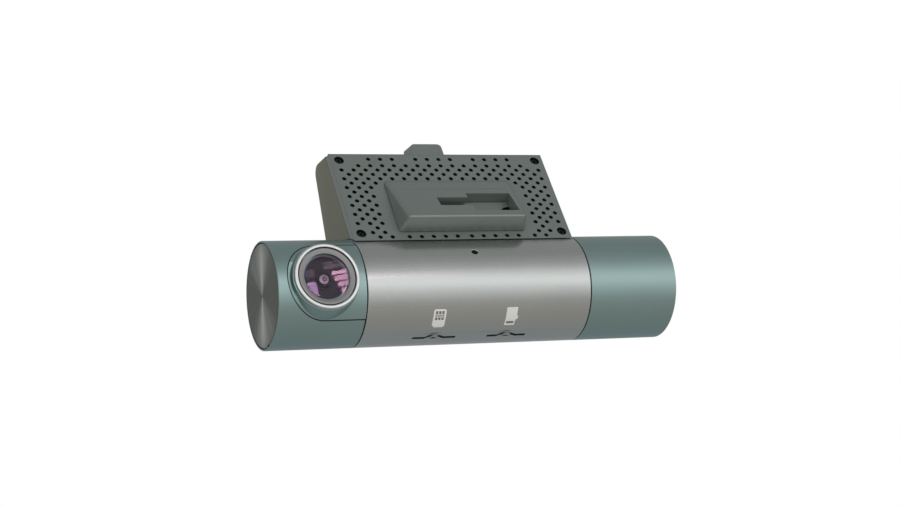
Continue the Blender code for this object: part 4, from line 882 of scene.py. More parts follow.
# ---- body tube ------------------------------------------------------------------------------
@dataclass
class BodyTube:
    """Round tube in the middle: card slots with their printed marks, microphone, button, light.

    The link window, for the flex to the box, is (middle, length, width).
    """

    shop: Workshop
    barrel: Barrel
    edge_round: float = 0.00012
    card_angle: float = -54
    card_height: float = 0.0012
    socket_wall: float = 0.0008
    thumb_width: float = 0.0067
    thumb_depth: float = 0.0008
    mark_thickness: float = 0.00003
    mark_angles: Span = (-37.0, -15.0)
    mark_width: float = 0.0044
    mark_offsets: Span = (0.0003, 0.0002)
    mark_round: float = 0.0005
    mark_cut: float = 0.0009
    mic_angle: float = 50
    mic_radius: float = 0.0011
    link_angle: float = 112
    link_window: tuple[float, float, float] = (0.0220, 0.0110, 0.0050)
    button_angle: float = 200
    button_proud: float = 0.0007
    button_round: float = 0.0004
    button_flange: float = 0.0011
    light_radius: float = 0.0011
    light_flange: float = 0.0007
    flange_thickness: float = 0.0009
    flange_inside: float = 0.0012

    def card_places(self) -> dict[str, tuple[float, float]]:
        """Middle and width of each card slot, from the sockets behind them."""
        places = {}
        for card in ("sim_socket", "memory_card_socket"):
            low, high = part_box(card)
            places[card] = ((low.x + high.x) / 2, high.x - low.x - 2 * self.socket_wall)
        return places

    def make_tube(self) -> None:
        """Tube with its openings."""
        barrel, soft = self.barrel, self.edge_round
        through = (barrel.bore - barrel.wall, barrel.radius + barrel.wall)
        tube = Form.turned([
            (-barrel.half, barrel.bore), (-barrel.half, barrel.radius - soft),
            (-barrel.half + soft, barrel.radius), (barrel.half - soft, barrel.radius),
            (barrel.half, barrel.radius - soft), (barrel.half, barrel.bore)],
            FINE_STEPS, Axis.ALONG).placed(barrel.frame())
        card = barrel.frame(facing=self.card_angle)
        cutters = []
        scoop = self.thumb_depth / 2 + self.thumb_width ** 2 / (8 * self.thumb_depth)
        for x, width in self.card_places().values():
            cutters.append(Form.block(around(x, width), around(0, self.card_height), through)
                           .placed(card))
            reach = self.thumb_width / scoop
            dish = Form.turned([(0, 0), *arc((scoop, 0), scoop, 180 - degrees(reach), 180, 12)][::-1]
                               + [(scoop * (1 - cos(reach)), 0)], MEDIUM_STEPS)
            cutters.append(dish.moved(x, 0, barrel.radius - self.thumb_depth).placed(card))
        mic = Form.turned([(through[0], 0), (through[0], self.mic_radius),
                           *mouth(barrel.radius, self.mic_radius, soft, through[1])], SMALL_STEPS)
        cutters.append(mic.placed(barrel.frame(facing=self.mic_angle)))
        button = barrel.frame(facing=self.button_angle)
        for x, radius in ((0.0, self.button_radius + GAP), (self.light_x, self.light_radius + GAP)):
            cutters.append(Form.rod(through, radius, MEDIUM_STEPS).moved(x).placed(button))
        x, width, height = self.link_window
        window = Form.block(around(x, width), around(0, height), through)
        cutters.append(window.placed(barrel.frame(facing=self.link_angle)))
        self.shop.piece("body_tube", tube.cut(*cutters), Slot.SILVER, "main_body", ["centre_tube"])

    @property
    def button_radius(self) -> float:
        """Radius of the button's visible face: its box less the flange behind the wall."""
        low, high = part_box("event_button")
        return (high.x - low.x) / 2 - self.button_flange

    @property
    def light_x(self) -> float:
        """Where the status light is along the barrel."""
        low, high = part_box("status_light")
        return (low.x + high.x) / 2

    def wrapped(self, outline: Sequence[Point], lift: float = 0.0) -> Form:
        """Flat outline laid round the tube as a thin print.

        Args:
            outline: (x, degrees round the barrel) points.
            lift: How far its underside is above the tube.

        Returns:
            The print's shape.
        """
        mesh = bmesh.new()
        mesh.faces.new([mesh.verts.new((x, angle, 0.0)) for x, angle in outline])
        angles = [angle for _, angle in outline]
        for step in range(1, int(max(angles) - min(angles))):
            geometry = mesh.verts[:] + mesh.edges[:] + mesh.faces[:]
            bmesh.ops.bisect_plane(mesh, geom=geometry, plane_co=(0, min(angles) + step, 0),
                                   plane_no=(0, 1, 0), dist=MERGE)
        grown = bmesh.ops.extrude_face_region(mesh, geom=mesh.faces[:], use_keep_orig=True)
        upper = {item for item in grown["geom"] if isinstance(item, bmesh.types.BMVert)}
        for vert in mesh.verts:
            side = 1 if vert in upper else -1
            y, z = self.barrel.towards(
                vert.co.y, self.barrel.radius + lift + side * self.mark_thickness)
            vert.co = (vert.co.x, self.barrel.axis[0] + y, self.barrel.axis[1] + z)
        bmesh.ops.recalc_face_normals(mesh, faces=mesh.faces)
        return Form(mesh)

    def make_marks(self, print_white: Finish, print_dark: Finish) -> None:
        """Printed card outlines above the two slots."""
        low, high = self.mark_angles
        tall = high - low
        places = list(self.card_places().values())
        middle, half = places[0][0] - self.mark_offsets[0], self.mark_width / 2
        soft, cut = self.mark_round, self.mark_cut
        step = degrees(soft / self.barrel.radius)
        outline = [(middle - half + cut, low), (middle + half - soft, low),
                   (middle + half, low + step), (middle + half, high - step),
                   (middle + half - soft, high), (middle - half + soft, high),
                   (middle - half, high - step), (middle - half, low + 2 * step)]
        self.shop.piece("sim_mark", self.wrapped(outline), print_white, "main_body")
        number = 0
        for row, (bottom, top) in enumerate(((0.43, 0.58), (0.62, 0.70), (0.74, 0.90))):
            columns = 3 if row != 1 else 4
            pitch = self.mark_width * 0.76 / columns
            for column in range(columns):
                x = middle + (column - (columns - 1) / 2) * pitch
                number += 1
                pad = [(x + side * pitch * 0.36, low + tall * level)
                       for side, level in ((-1, bottom), (1, bottom), (1, top), (-1, top))]
                self.shop.piece(f"sim_mark_pad_{number}", self.wrapped(pad, self.mark_thickness / 2),
                                print_dark, "main_body")
        middle = places[1][0] - self.mark_offsets[1]
        outline = [(middle + half * across, low + tall * up) for across, up in (
            (-1, 0), (0.64, 0), (0.64, 0.30), (1, 0.40), (1, 0.52), (0.76, 0.60), (0.80, 1), (-1, 1))]
        self.shop.piece("memory_mark", self.wrapped(outline), print_white, "main_body")
        band = [(middle + half * across, low + tall * up)
                for across, up in ((-0.78, 0.11), (0.44, 0.11), (0.44, 0.24), (-0.78, 0.24))]
        self.shop.piece("memory_mark_band", self.wrapped(band, self.mark_thickness / 2), print_dark,
                        "main_body")

    def make_button_and_light(self) -> None:
        """Dished button in the back, and the light beside it."""
        back = self.barrel.frame(facing=self.button_angle)
        low = self.barrel.bore - self.flange_inside
        seat = low + self.flange_thickness
        top = self.barrel.radius + self.button_proud
        radius, soft = self.button_radius, self.button_round
        flange = radius + self.button_flange
        button = Form.turned([
            (low, 0), (low, flange), (seat, flange), (seat, radius),
            *arc((top - soft, radius - soft), soft, 90, 0), (top, radius * 0.72),
            (top - 0.00012, radius * 0.62), (top - 0.0003, 0)])
        self.shop.piece("event_button_cap", button.placed(back), Slot.RED, "event_button",
                        ["event_button"])
        light, flange = self.light_radius, self.light_radius + self.light_flange
        pipe = Form.turned([
            (low, 0), (low, flange), (seat, flange), (seat, light),
            (self.barrel.radius - 0.0002, light), (self.barrel.radius + 0.00005, light * 0.7),
            (self.barrel.radius + 0.0001, 0)], SMALL_STEPS)
        self.shop.piece("status_light_pipe", pipe.moved(self.light_x).placed(back), Slot.LIGHT,
                        "main_body", ["status_light"])


# ---- electronics box ------------------------------------------------------------------------
@dataclass
class ElectronicsBox:
    """Leaning box: rear shell, perforated plate with its screws, power inlet hood, cleat.

    The slot and the pocket are (left, right, low, high) on the cleat's face, a ridge is (right end,
    height on the face, width, how far it stands proud), and the grille is (slots, length, width,
    pitch).
    """

    shop: Workshop
    barrel: Barrel
    setback: float = 0.0002
    foot_angle: float = 75
    lean: float = 42
    height: float = 0.0392
    rim: float = 0.0026
    skin: float = 0.0015
    top_depth: float = 0.0157
    top_slope: float = 17
    back_foot_angle: float = 171
    back_round: float = 0.0042
    saddle: float = 0.0017
    wall: float = 0.0016
    edge_round: float = 0.00035
    vent_radius: float = 0.00078
    vent_flare: float = 0.00006
    pitch: float = 0.00431
    row: float = 0.00198
    first_row: float = 0.00205
    last_row: float = 0.0025
    first_column: float = 0.0026
    vent_clear: float = 0.0034
    screw_from_end: float = 0.0032
    screw_low: float = 0.0037
    screw_from_top: float = 0.0030
    recess_radius: float = 0.0017
    recess_depth: float = 0.0020
    screw_hole: float = 0.0011
    screw_head: Span = (0.0014, 0.0009)
    screw_shank: Span = (0.0008, 0.0070)
    key_radius: float = 0.00065
    key_depth: float = 0.0005
    cleat_half: float = 0.0230
    cleat_low: float = 0.0040
    cleat_high: float = 0.0265
    cleat_heights: Span = (0.0073, 0.0014)
    cleat_insets: Span = (0.0006, 0.0014)
    cleat_draft: float = 0.26
    cleat_round: float = 0.0011
    cleat_skin: float = 0.0017
    cleat_margin: float = 0.0012
    ridge_left: float = -0.0190
    ridges: tuple[tuple[float, float, float, float], ...] = (
        (0.0203, 0.0169, 0.0004, 0.00012), (0.0207, 0.00135, 0.0003, 0.00008))
    ridge_round: float = 0.00008
    slot: tuple[float, float, float, float] = (-0.0078, 0.0037, 0.0066, 0.0114)
    pocket: tuple[float, float, float, float] = (0.0036, 0.0198, 0.0033, 0.0138)
    hood: Span = (-0.0086, 0.0027)
    hood_height: float = 0.0047
    hood_depth: float = 0.0074
    hood_root: float = 0.0030
    hood_wall: float = 0.0012
    hood_round: float = 0.0014
    hood_setback: float = 0.0001
    latch_radius: float = 0.0033
    latch_from_end: float = 0.0004
    grille: tuple[int, float, float, float] = (5, 0.0100, 0.0010, 0.0024)

    def __post_init__(self) -> None:
        """Works out the side view's directions and corners."""
        self.half = self.barrel.half - self.setback
        self.up = Vector((sin(radians(self.lean)), cos(radians(self.lean))))
        self.inward = Vector((self.up.y, -self.up.x))
        self.top = Vector((cos(radians(self.top_slope)), -sin(radians(self.top_slope))))
        self.foot = self.barrel.towards(self.foot_angle, self.barrel.radius)
        self.crest = self.foot + self.up * self.height
        self.shoulder = self.crest + self.top * self.top_depth
        self.back_foot = self.barrel.towards(self.back_foot_angle, self.barrel.radius)
        self.back_up = (self.shoulder - self.back_foot).normalized()
        self.back_out = Vector((self.back_up.y, -self.back_up.x))
        self.plate_frame = self.barrel.frame(place=self.foot, facing=self.lean)
        self.cleat_foot = (self.foot + self.up * (self.cleat_low + self.cleat_insets[0])
                           - self.inward * self.cleat_heights[0])
        cleat_head = (self.foot + self.up * (self.cleat_high - self.cleat_insets[1])
                      - self.inward * self.cleat_heights[1])
        self.face_up = (cleat_head - self.cleat_foot).normalized()
        self.cleat_frame = self.barrel.frame(
            place=self.cleat_foot, facing=degrees(atan2(self.face_up.x, self.face_up.y)))

    def screw_places(self) -> list[Point]:
        """(x, up the plate) of the four screws."""
        return [(side * (self.half - self.screw_from_end), up)
                for up in (self.screw_low, self.height - self.screw_from_top) for side in (-1, 1)]

    def vent_places(self) -> list[Point]:
        """(x, up the plate) of every vent hole: staggered rows that stop short of screws and cleat."""
        columns = int((self.half - 2 * self.vent_radius) / (self.pitch / 2))
        rows = int((self.height - self.first_row) / self.row) - 1
        places = [(side * (self.first_column + column * self.pitch), self.first_row)
                  for side in (-1, 1) for column in range(5)]
        for row in range(rows):
            up = self.first_row + row * self.row
            corner = up < self.cleat_low or up > self.cleat_high - self.row
            margin = self.vent_clear / 2 if corner else self.vent_clear
            for column in range(-columns, columns + 1):
                x = column * self.pitch / 2
                covered = up < self.cleat_high and abs(x) < self.cleat_half + margin
                if (column + row) % 2 == 0 and not covered:
                    places.append((x, up))
        places += [(column * self.pitch, self.height - self.last_row)
                   for column in range(-6, 7) if column not in (-3, 2)]
        return [place for place in places
                if all((Vector(place) - Vector(screw)).length > self.vent_clear
                       for screw in self.screw_places())]

    def hood_outline(self, grow: float = 0.0) -> list[Vector]:
        """Side view of the power inlet's hood."""
        low = self.crest - self.up * (self.hood_root + grow)
        high = self.crest + self.up * (self.hood_height + grow)
        front = self.inward * self.hood_setback - self.top * grow
        back = self.top * (self.hood_depth + grow)
        return [low + front, high + front, high + back, low + back]

    def make_shell(self) -> None:
        """Rear shell with its hollow, speaker slots and the gap round the hood."""
        side_view = self.barrel.frame()
        rim = self.foot + self.inward * (self.rim + GAP)
        outline = [rim, meeting(rim, self.up, self.crest, self.top), self.shoulder, self.back_foot,
                   self.barrel.towards(self.back_foot_angle, self.barrel.bore), Vector((0, 0))]
        shell = Form.prism(outline, (-self.half, self.half), {2: self.back_round})
        shell.rounded(self.edge_round, 3, lambda edge: abs(
            edge.verts[0].co.x - edge.verts[1].co.x) < MERGE)
        before = self.foot - self.inward * self.wall
        top_wall = self.crest - Vector((-self.top.y, self.top.x)) * self.wall
        back_wall = self.shoulder - self.back_out * self.wall
        inner = self.half - self.wall
        hollow = Form.prism([
            before - self.up * self.barrel.radius, meeting(before, self.up, top_wall, self.top),
            meeting(top_wall, self.top, back_wall, self.back_up),
            meeting(Vector((0, 0)), Vector((1, 0)), back_wall, self.back_up), Vector((0, 0))],
            (-inner, inner), {2: self.back_round - self.wall}).placed(side_view)
        past = (-self.barrel.half * 2, self.barrel.half * 2)
        hollow.cut(self.barrel.bar(self.barrel.radius + self.saddle, past))
        count, width, height, pitch = self.grille
        slots = Form.block(around(0, width), around(0, height), (-self.wall - GAP, GAP)).rounded(
            height * 0.45, 4, lambda edge: abs(edge.verts[0].co.z - edge.verts[1].co.z) > self.wall)
        slots.repeated((0.0, (number - count // 2) * pitch) for number in range(count))
        slots.placed(self.barrel.frame(
            place=self.back_foot.lerp(self.shoulder, 0.62),
            facing=degrees(atan2(self.back_out.y, -self.back_out.x))))
        hood = Form.prism(self.hood_outline(GAP), (self.hood[0] - GAP, self.hood[1] + GAP))
        shell.placed(side_view).cut(
            hollow, self.barrel.bar(self.barrel.radius + GAP, past), hood.placed(side_view), slots)
        self.shop.piece("box_shell", shell, Slot.OLIVE, "main_body", ["rear_housing"])

    def on_hood_top(self, edge: bmesh.types.BMEdge) -> bool:
        """Whether an edge of the hood runs front to back along its top."""
        risen = [(vert.co.yz - self.crest).dot(self.up) > self.hood_height / 2
                 for vert in edge.verts]
        return all(risen) and abs(edge.verts[0].co.x - edge.verts[1].co.x) < MERGE

    def make_plate(self) -> None:
        """Perforated plate, in one with the inlet hood."""
        plate = Form.block((-self.half, self.half), (0, self.height), (-self.rim, 0))
        plate.rounded(self.edge_round, 3, lambda edge: min(v.co.z for v in edge.verts) > -MERGE)
        hood = Form.prism(self.hood_outline(), self.hood).rounded(
            self.hood_round, 6, self.on_hood_top)
        back = self.hood_depth * self.top.dot(self.inward) - self.hood_wall
        cavity = Form.block(
            (self.hood[0] + self.hood_wall, self.hood[1] - self.hood_wall),
            (self.height - self.hood_root - 2 * self.hood_wall, self.height + 3 * self.hood_height),
            (-back, -self.skin))
        thin_half = (int(self.half / self.pitch) - 1.25) * self.pitch
        thin = Form.block((-thin_half, thin_half),
                          (self.first_row + self.row / 2, self.height - self.last_row - self.row * 0.75),
                          (-self.rim - GAP, -self.skin))
        radius, flare, deep = self.vent_radius, self.vent_flare, -self.rim - GAP
        vents = Form.turned([(deep, 0), (deep, radius), *mouth(0.0, radius, flare, GAP)], HOLE_STEPS)
        vents.repeated(self.vent_places())
        wide, floor = self.recess_radius, -self.recess_depth
        recesses = Form.turned([(deep, 0), (deep, self.screw_hole), (floor, self.screw_hole),
                                (floor, wide), *mouth(0.0, wide, flare, GAP)], SMALL_STEPS)
        recesses.repeated(self.screw_places())
        middle = self.cleat_foot + self.face_up * (self.pocket[2] + self.pocket[3]) / 2
        face_in = Vector((self.face_up.y, -self.face_up.x))
        latch_up = (meeting(middle, face_in, self.foot, self.up) - self.foot).length
        latch = Form.rod((-self.rim, GAP), self.latch_radius, MEDIUM_STEPS)
        latch.moved(self.pocket[1] - self.latch_from_end, latch_up)
        bar = self.barrel.bar(self.barrel.radius + GAP, (-self.barrel.half * 2, self.barrel.half * 2))
        plate.placed(self.plate_frame).joined(hood.placed(self.barrel.frame()))
        plate.cut(*[cutter.placed(self.plate_frame) for cutter in (cavity, thin, recesses, latch)],
                  bar, vents.placed(self.plate_frame))
        base = self.shop.finishes[Slot.GREY]
        # Plate finish with painted shade in its vent holes
        look = PerforatedPaintedShade("perforated_plate", base.light, base.dark, base.roughness, base.metallic,
                          base.grain, base.depth, foot=tuple(self.foot + Vector(self.barrel.axis)),
                          up=tuple(self.up), half=self.half, height=self.height)
        piece = self.shop.piece("vent_cover", plate, look, "main_body", ["vent_plate"])

    def make_screws(self) -> None:
        """Socket-head screws at the bottom of their recesses."""
        (head, thickness), (shank, length) = self.screw_head, self.screw_shank
        under = GAP - self.recess_depth
        top, soft = under + thickness, 0.0003
        for number, place in enumerate(self.screw_places(), 1):
            screw = Form.turned([
                (under - length, 0), (under - length, shank), (under, shank), (under, head),
                *arc((top - soft, head - soft), soft, 90, 0), (top, 0)], SMALL_STEPS)
            key = Form.rod((top - self.key_depth, top + GAP), self.key_radius, 6)
            screw.cut(key).moved(*place).placed(self.plate_frame)
            self.shop.piece(f"corner_screw_{number}", screw, Slot.SCREW, "main_body",
                            [f"plate_screw_{number}"])

    def make_cleat(self) -> None:
        """Wedge for the windshield bracket: slot and pocket in one, and two fine ridges."""
        wedge = Form.block((-self.cleat_half, self.cleat_half), (self.cleat_low, self.cleat_high),
                           (GAP, 1.0))
        for vert in wedge.mesh.verts:
            if vert.co.z > 0.5:
                low = vert.co.y < (self.cleat_low + self.cleat_high) / 2
                height = self.cleat_heights[0 if low else 1]
                side = 1 if vert.co.x > 0 else -1
                vert.co = (side * (self.cleat_half - self.cleat_draft * height),
                           self.cleat_low + self.cleat_insets[0] if low
                           else self.cleat_high - self.cleat_insets[1], height)
        wedge.rounded(self.cleat_round, 7,
                      lambda edge: max(vert.co.z for vert in edge.verts) > 2 * GAP)
        wedge.placed(self.plate_frame)
        ridges = [Form.block((self.ridge_left, right), around(up, width), (-2 * GAP, height))
                  for right, up, width, height in self.ridges]
        for ridge in ridges:
            ridge.rounded(self.ridge_round, 2, lambda edge: max(v.co.z for v in edge.verts) > 0)
        through = -2 * self.cleat_heights[0]
        slot, pocket, skin, margin = self.slot, self.pocket, self.cleat_skin, self.cleat_margin
        cutters = [
            Form.block(slot[:2], slot[2:], (-self.cleat_heights[0], self.cleat_round)),
            Form.block(pocket[:2], pocket[2:], (through, self.cleat_round)),
            Form.block((slot[0] - margin, pocket[0] + margin), (slot[2] - margin, slot[3] + margin),
                       (through, -skin)),
        ]
        wedge.joined(*[ridge.placed(self.cleat_frame) for ridge in ridges])
        wedge.cut(*[cutter.placed(self.cleat_frame) for cutter in cutters])
        self.shop.piece("bracket_wedge", wedge, Slot.GREY, "main_body", ["bracket_cleat"])


# ---- turning barrels ------------------------------------------------------------------------
@dataclass
class TurningBarrel:
    """What both turning barrels share: the cover with its rebate, and the spun cap in its end."""

    shop: Workshop
    barrel: Barrel
    cap_thickness: float = 0.0012
    cap_lip: float = 0.0005
    cap_round: float = 0.0002
    notch_angle: float = -68
    notch: float = 0.0006
    edge_round: float = 0.00015

    def cover_form(self, seam: float, end: float) -> Form:
        """Cover with softly broken edges.

        Args:
            seam: Its end at the tube.
            end: Its outer end.

        Returns:
            The cover.
        """
        side, soft = (1 if end > seam else -1), self.edge_round
        rebate = end - side * (self.cap_thickness + GAP)
        radius = self.barrel.radius
        form = Form.turned([
            (seam, self.barrel.bore), (seam, radius - soft), (seam + side * soft, radius),
            (end - side * soft, radius), (end, radius - soft), (end, radius - self.cap_lip),
            (rebate, radius - self.cap_lip), (rebate, self.barrel.bore)], FINE_STEPS, Axis.ALONG)
        return form.placed(self.barrel.frame())

    def make_cap(self, name: str, end: float, body: str, node: str, look: Slot | Finish) -> None:
        """Spun end cap with its small notch."""
        side = 1 if end > 0 else -1
        radius = self.barrel.radius - self.cap_lip - GAP
        inside, soft = end - side * self.cap_thickness, self.cap_round
        cap = Form.turned([
            (inside, 0), (inside, radius), (end - side * soft, radius), (end, radius - soft),
            (end, 0)], FINE_STEPS, Axis.ALONG).placed(self.barrel.frame())
        place = self.barrel.towards(self.notch_angle, radius)
        notch = Form.block((end + side * GAP, end - side * self.notch),
                           around(self.barrel.axis[0] + place.x, 2 * self.notch),
                           around(self.barrel.axis[1] + place.y, 2 * self.notch))
        piece = self.shop.piece(name, cap.cut(notch), look, body, [node])


@dataclass
class RoadCamera(TurningBarrel):
    """Road-facing barrel: lens panel with its boss, rings, window, mask and lens."""

    body: str = "front_camera"
    lens_from_end: float = 0.0159
    elevation: float = 21
    bezel: float = 0.0109
    bezel_width: float = 0.0012
    bezel_height: float = 0.0010
    bezel_round: Span = (0.00042, 0.0003)
    shoulder: float = 0.0003
    shoulder_round: float = 0.0004
    draft: float = 0.20
    moat_depth: float = 0.0011
    panel_margin: float = 0.0016
    past_seam: float = 0.0020
    hub_room: float = 0.0023
    clearance: float = 0.0001
    proud: float = 0.0021
    trim_width: float = 0.0017
    trim_height: float = 0.0012
    trim_slope: float = 0.0003
    trim_round: float = 0.00015
    glass_thickness: float = 0.0008
    glass_sunk: float = 0.0005
    glass_bevel: float = 0.0001
    mask_depth: float = 0.0025
    mask_thickness: float = 0.0006
    mask_step: float = 0.0002
    holder_foot: float = 0.0057
    holder_radius: float = 0.0040
    holder_height: float = 0.0030
    lens_depth: float = 0.0014
    lens_radius: float = 0.0025
    element_radius: float = 0.0016
    element_height: float = 0.0008

    def __post_init__(self) -> None:
        """Works out the places along the barrel and the heights over its axis."""
        low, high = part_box("front_barrel_cover")
        self.seam, self.end = high.x, low.x
        self.lens_x = self.end + self.lens_from_end
        self.panel_radius = self.bezel + self.panel_margin
        self.top = self.barrel.radius + self.proud
        self.lens_frame = self.barrel.frame(self.lens_x, facing=self.elevation)
        self.bezel_inner = self.bezel - self.bezel_width
        self.trim_outer = self.bezel_inner - GAP
        self.trim_inner = self.trim_outer - self.trim_width
        self.trim_top = self.top - GAP
        self.glass_radius = self.trim_inner - GAP
        self.glass_top = self.trim_top - self.glass_sunk
        self.ledge = min(self.trim_top - self.trim_height,
                         self.glass_top - self.glass_thickness) - GAP

    def panel_former(self, radius: float, right: float, z: Span) -> Form:
        """U shape: half a circle round the lens, with straight sides that run to the seam."""
        outline = arc((0.0, 0.0), radius, 90, 270, RING_STEPS // 2)
        return Form.plate([*outline, (right, -radius), (right, radius)], z)

    def make_covers(self) -> None:
        """Barrel cover and the lens panel that fills its opening."""
        past = self.seam - self.lens_x + self.past_seam
        opening = self.panel_former(self.panel_radius + GAP, past, (0, self.top + GAP))
        cover = self.cover_form(self.seam, self.end).cut(opening.placed(self.lens_frame))
        self.shop.piece("road_cover", cover, Slot.TEAL, self.body, ["front_barrel_cover"])

        floor = self.top - self.bezel_height - GAP
        root_radius = self.panel_radius - self.clearance
        top_radius = self.bezel + self.shoulder
        root = floor - (root_radius - top_radius) / self.draft
        deep, bore = self.barrel.bore * 0.5, self.glass_radius - GAP
        soft = self.shoulder_round
        boss = Form.turned([(deep, 0), (deep, root_radius), (root, root_radius),
                            *arc((floor - soft, top_radius - soft), soft, 80, 0), (floor, 0)],
                           FINE_STEPS)
        well = Form.turned([(0, 0), (0, bore), (self.ledge, bore), (self.ledge, self.bezel_inner),
                            (self.top, self.bezel_inner), (self.top, 0)])
        shell = Form.turned([(self.seam, self.barrel.bore), (self.seam, self.barrel.radius),
                             (self.end, self.barrel.radius), (self.end, self.barrel.bore)],
                            FINE_STEPS, Axis.ALONG).placed(self.barrel.frame())
        bottom = self.barrel.bar(self.barrel.bore - self.barrel.wall, (self.end, self.seam))
        hub_room = self.barrel.bar(self.barrel.bore + self.clearance,
                                   (self.seam - self.hub_room, self.seam + GAP))
        panel = self.panel_former(self.panel_radius, past, (deep / 2, self.top))
        moat = Form.rod((0, self.top), root_radius, FINE_STEPS)
        tip = atan2(self.moat_depth, 2 * root_radius)
        moat.placed(Matrix.Translation((0, 0, self.barrel.radius - self.moat_depth / 2))
                    @ Matrix.Rotation(-tip, 4, "Y"))
        panel.placed(self.lens_frame).within(shell).cut(moat.placed(self.lens_frame))
        panel.joined(boss.placed(self.lens_frame)).cut(bottom, hub_room, well.placed(self.lens_frame))
        self.shop.piece("lens_panel", panel, Slot.TEAL, self.body, ["lens_housing"])

    def make_rings(self) -> None:
        """Bright ring outside and the grey ring inside it."""
        bezel = Form.turned(ring_profile((self.bezel_inner, self.bezel),
                                         (self.top - self.bezel_height, self.top),
                                         self.bezel_round), FINE_STEPS)
        self.shop.piece("bright_bezel", bezel.placed(self.lens_frame), Slot.BRIGHT, self.body,
                        ["lens_bezel_ring"])
        low, high = self.trim_top - self.trim_height, self.trim_top
        slope, soft = self.trim_slope, self.trim_round
        trim = Form.turned([
            (low, self.trim_inner), (low, self.trim_outer),
            *arc((high - soft, self.trim_outer - soft), soft, 90, 0),
            (high - slope * 0.1, (self.trim_inner + self.trim_outer) / 2),
            (high - slope, self.trim_inner)], FINE_STEPS)
        self.shop.piece("inner_trim", trim.placed(self.lens_frame), Slot.TRIM, self.body,
                        ["lens_trim_ring"])

    def make_optics(self, element: Callable[[Vector, Vector, float], Finish]) -> None:
        """Window, mask and the small lens in its holder.

        Args:
            element: Makes the lens finish from its middle, its facing and its radius.
        """
        bevel, wide = self.glass_bevel, self.glass_radius
        low, high = self.glass_top - self.glass_thickness, self.glass_top
        window = Form.turned([(low, 0), (low, wide - bevel), (low + bevel, wide),
                              (high - bevel, wide), (high, wide - bevel), (high, 0)])
        self.shop.piece("window", window.placed(self.lens_frame), Slot.GLASS, self.body,
                        ["lens_cover_glass"])
        face, bore = low - self.mask_depth, wide - GAP
        back, step = face - self.mask_thickness, face - self.mask_step
        mask = Form.turned([
            (back, self.lens_radius + GAP), (back, bore - GAP), (face, bore - GAP),
            (face, bore * 0.72), (step, bore * 0.70), (step, bore * 0.52), (face, bore * 0.50),
            (face, self.lens_radius + GAP)])
        self.shop.piece("mask", mask.placed(self.lens_frame), Slot.BLACK, self.body, ["lens_mask"])
        lens_top = low - self.lens_depth
        seat = lens_top - self.element_height - 2 * GAP
        foot = self.holder_foot + GAP
        collar, holder, rim = foot + self.holder_height, self.holder_radius, self.lens_radius
        soft, hole = 0.0002, self.element_radius + GAP
        tube = Form.turned([
            (foot, 0), (foot, holder), (collar, holder), (collar, rim),
            *arc((lens_top - soft, rim - soft), soft, 90, 0, 3),
            (lens_top, rim * 0.80), (lens_top - 2 * soft, rim * 0.76),
            (lens_top - 2 * soft, rim * 0.70), (lens_top - soft / 2, hole), (seat, hole), (seat, 0)])
        self.shop.piece("lens_tube", tube.placed(self.lens_frame), Slot.BLACK, self.body,
                        ["lens_barrel"])
        low, high, radius = seat + GAP, seat + GAP + self.element_height, self.element_radius
        rise = self.element_height / 2
        dome = Form.turned([(low, 0), (low, radius), (low + rise, radius),
                            *[(high - rise * share ** 2, radius * share)
                              for share in (0.8, 0.6, 0.4, 0.2)], (high, 0)])
        middle = self.lens_frame @ Vector((0, 0, self.top))
        facing = (self.lens_frame.to_3x3() @ Vector((0, 0, 1))).normalized()
        piece = self.shop.piece("lens_dome", dome.placed(self.lens_frame),
                                element(middle, facing, radius), self.body, ["lens_front_element"])


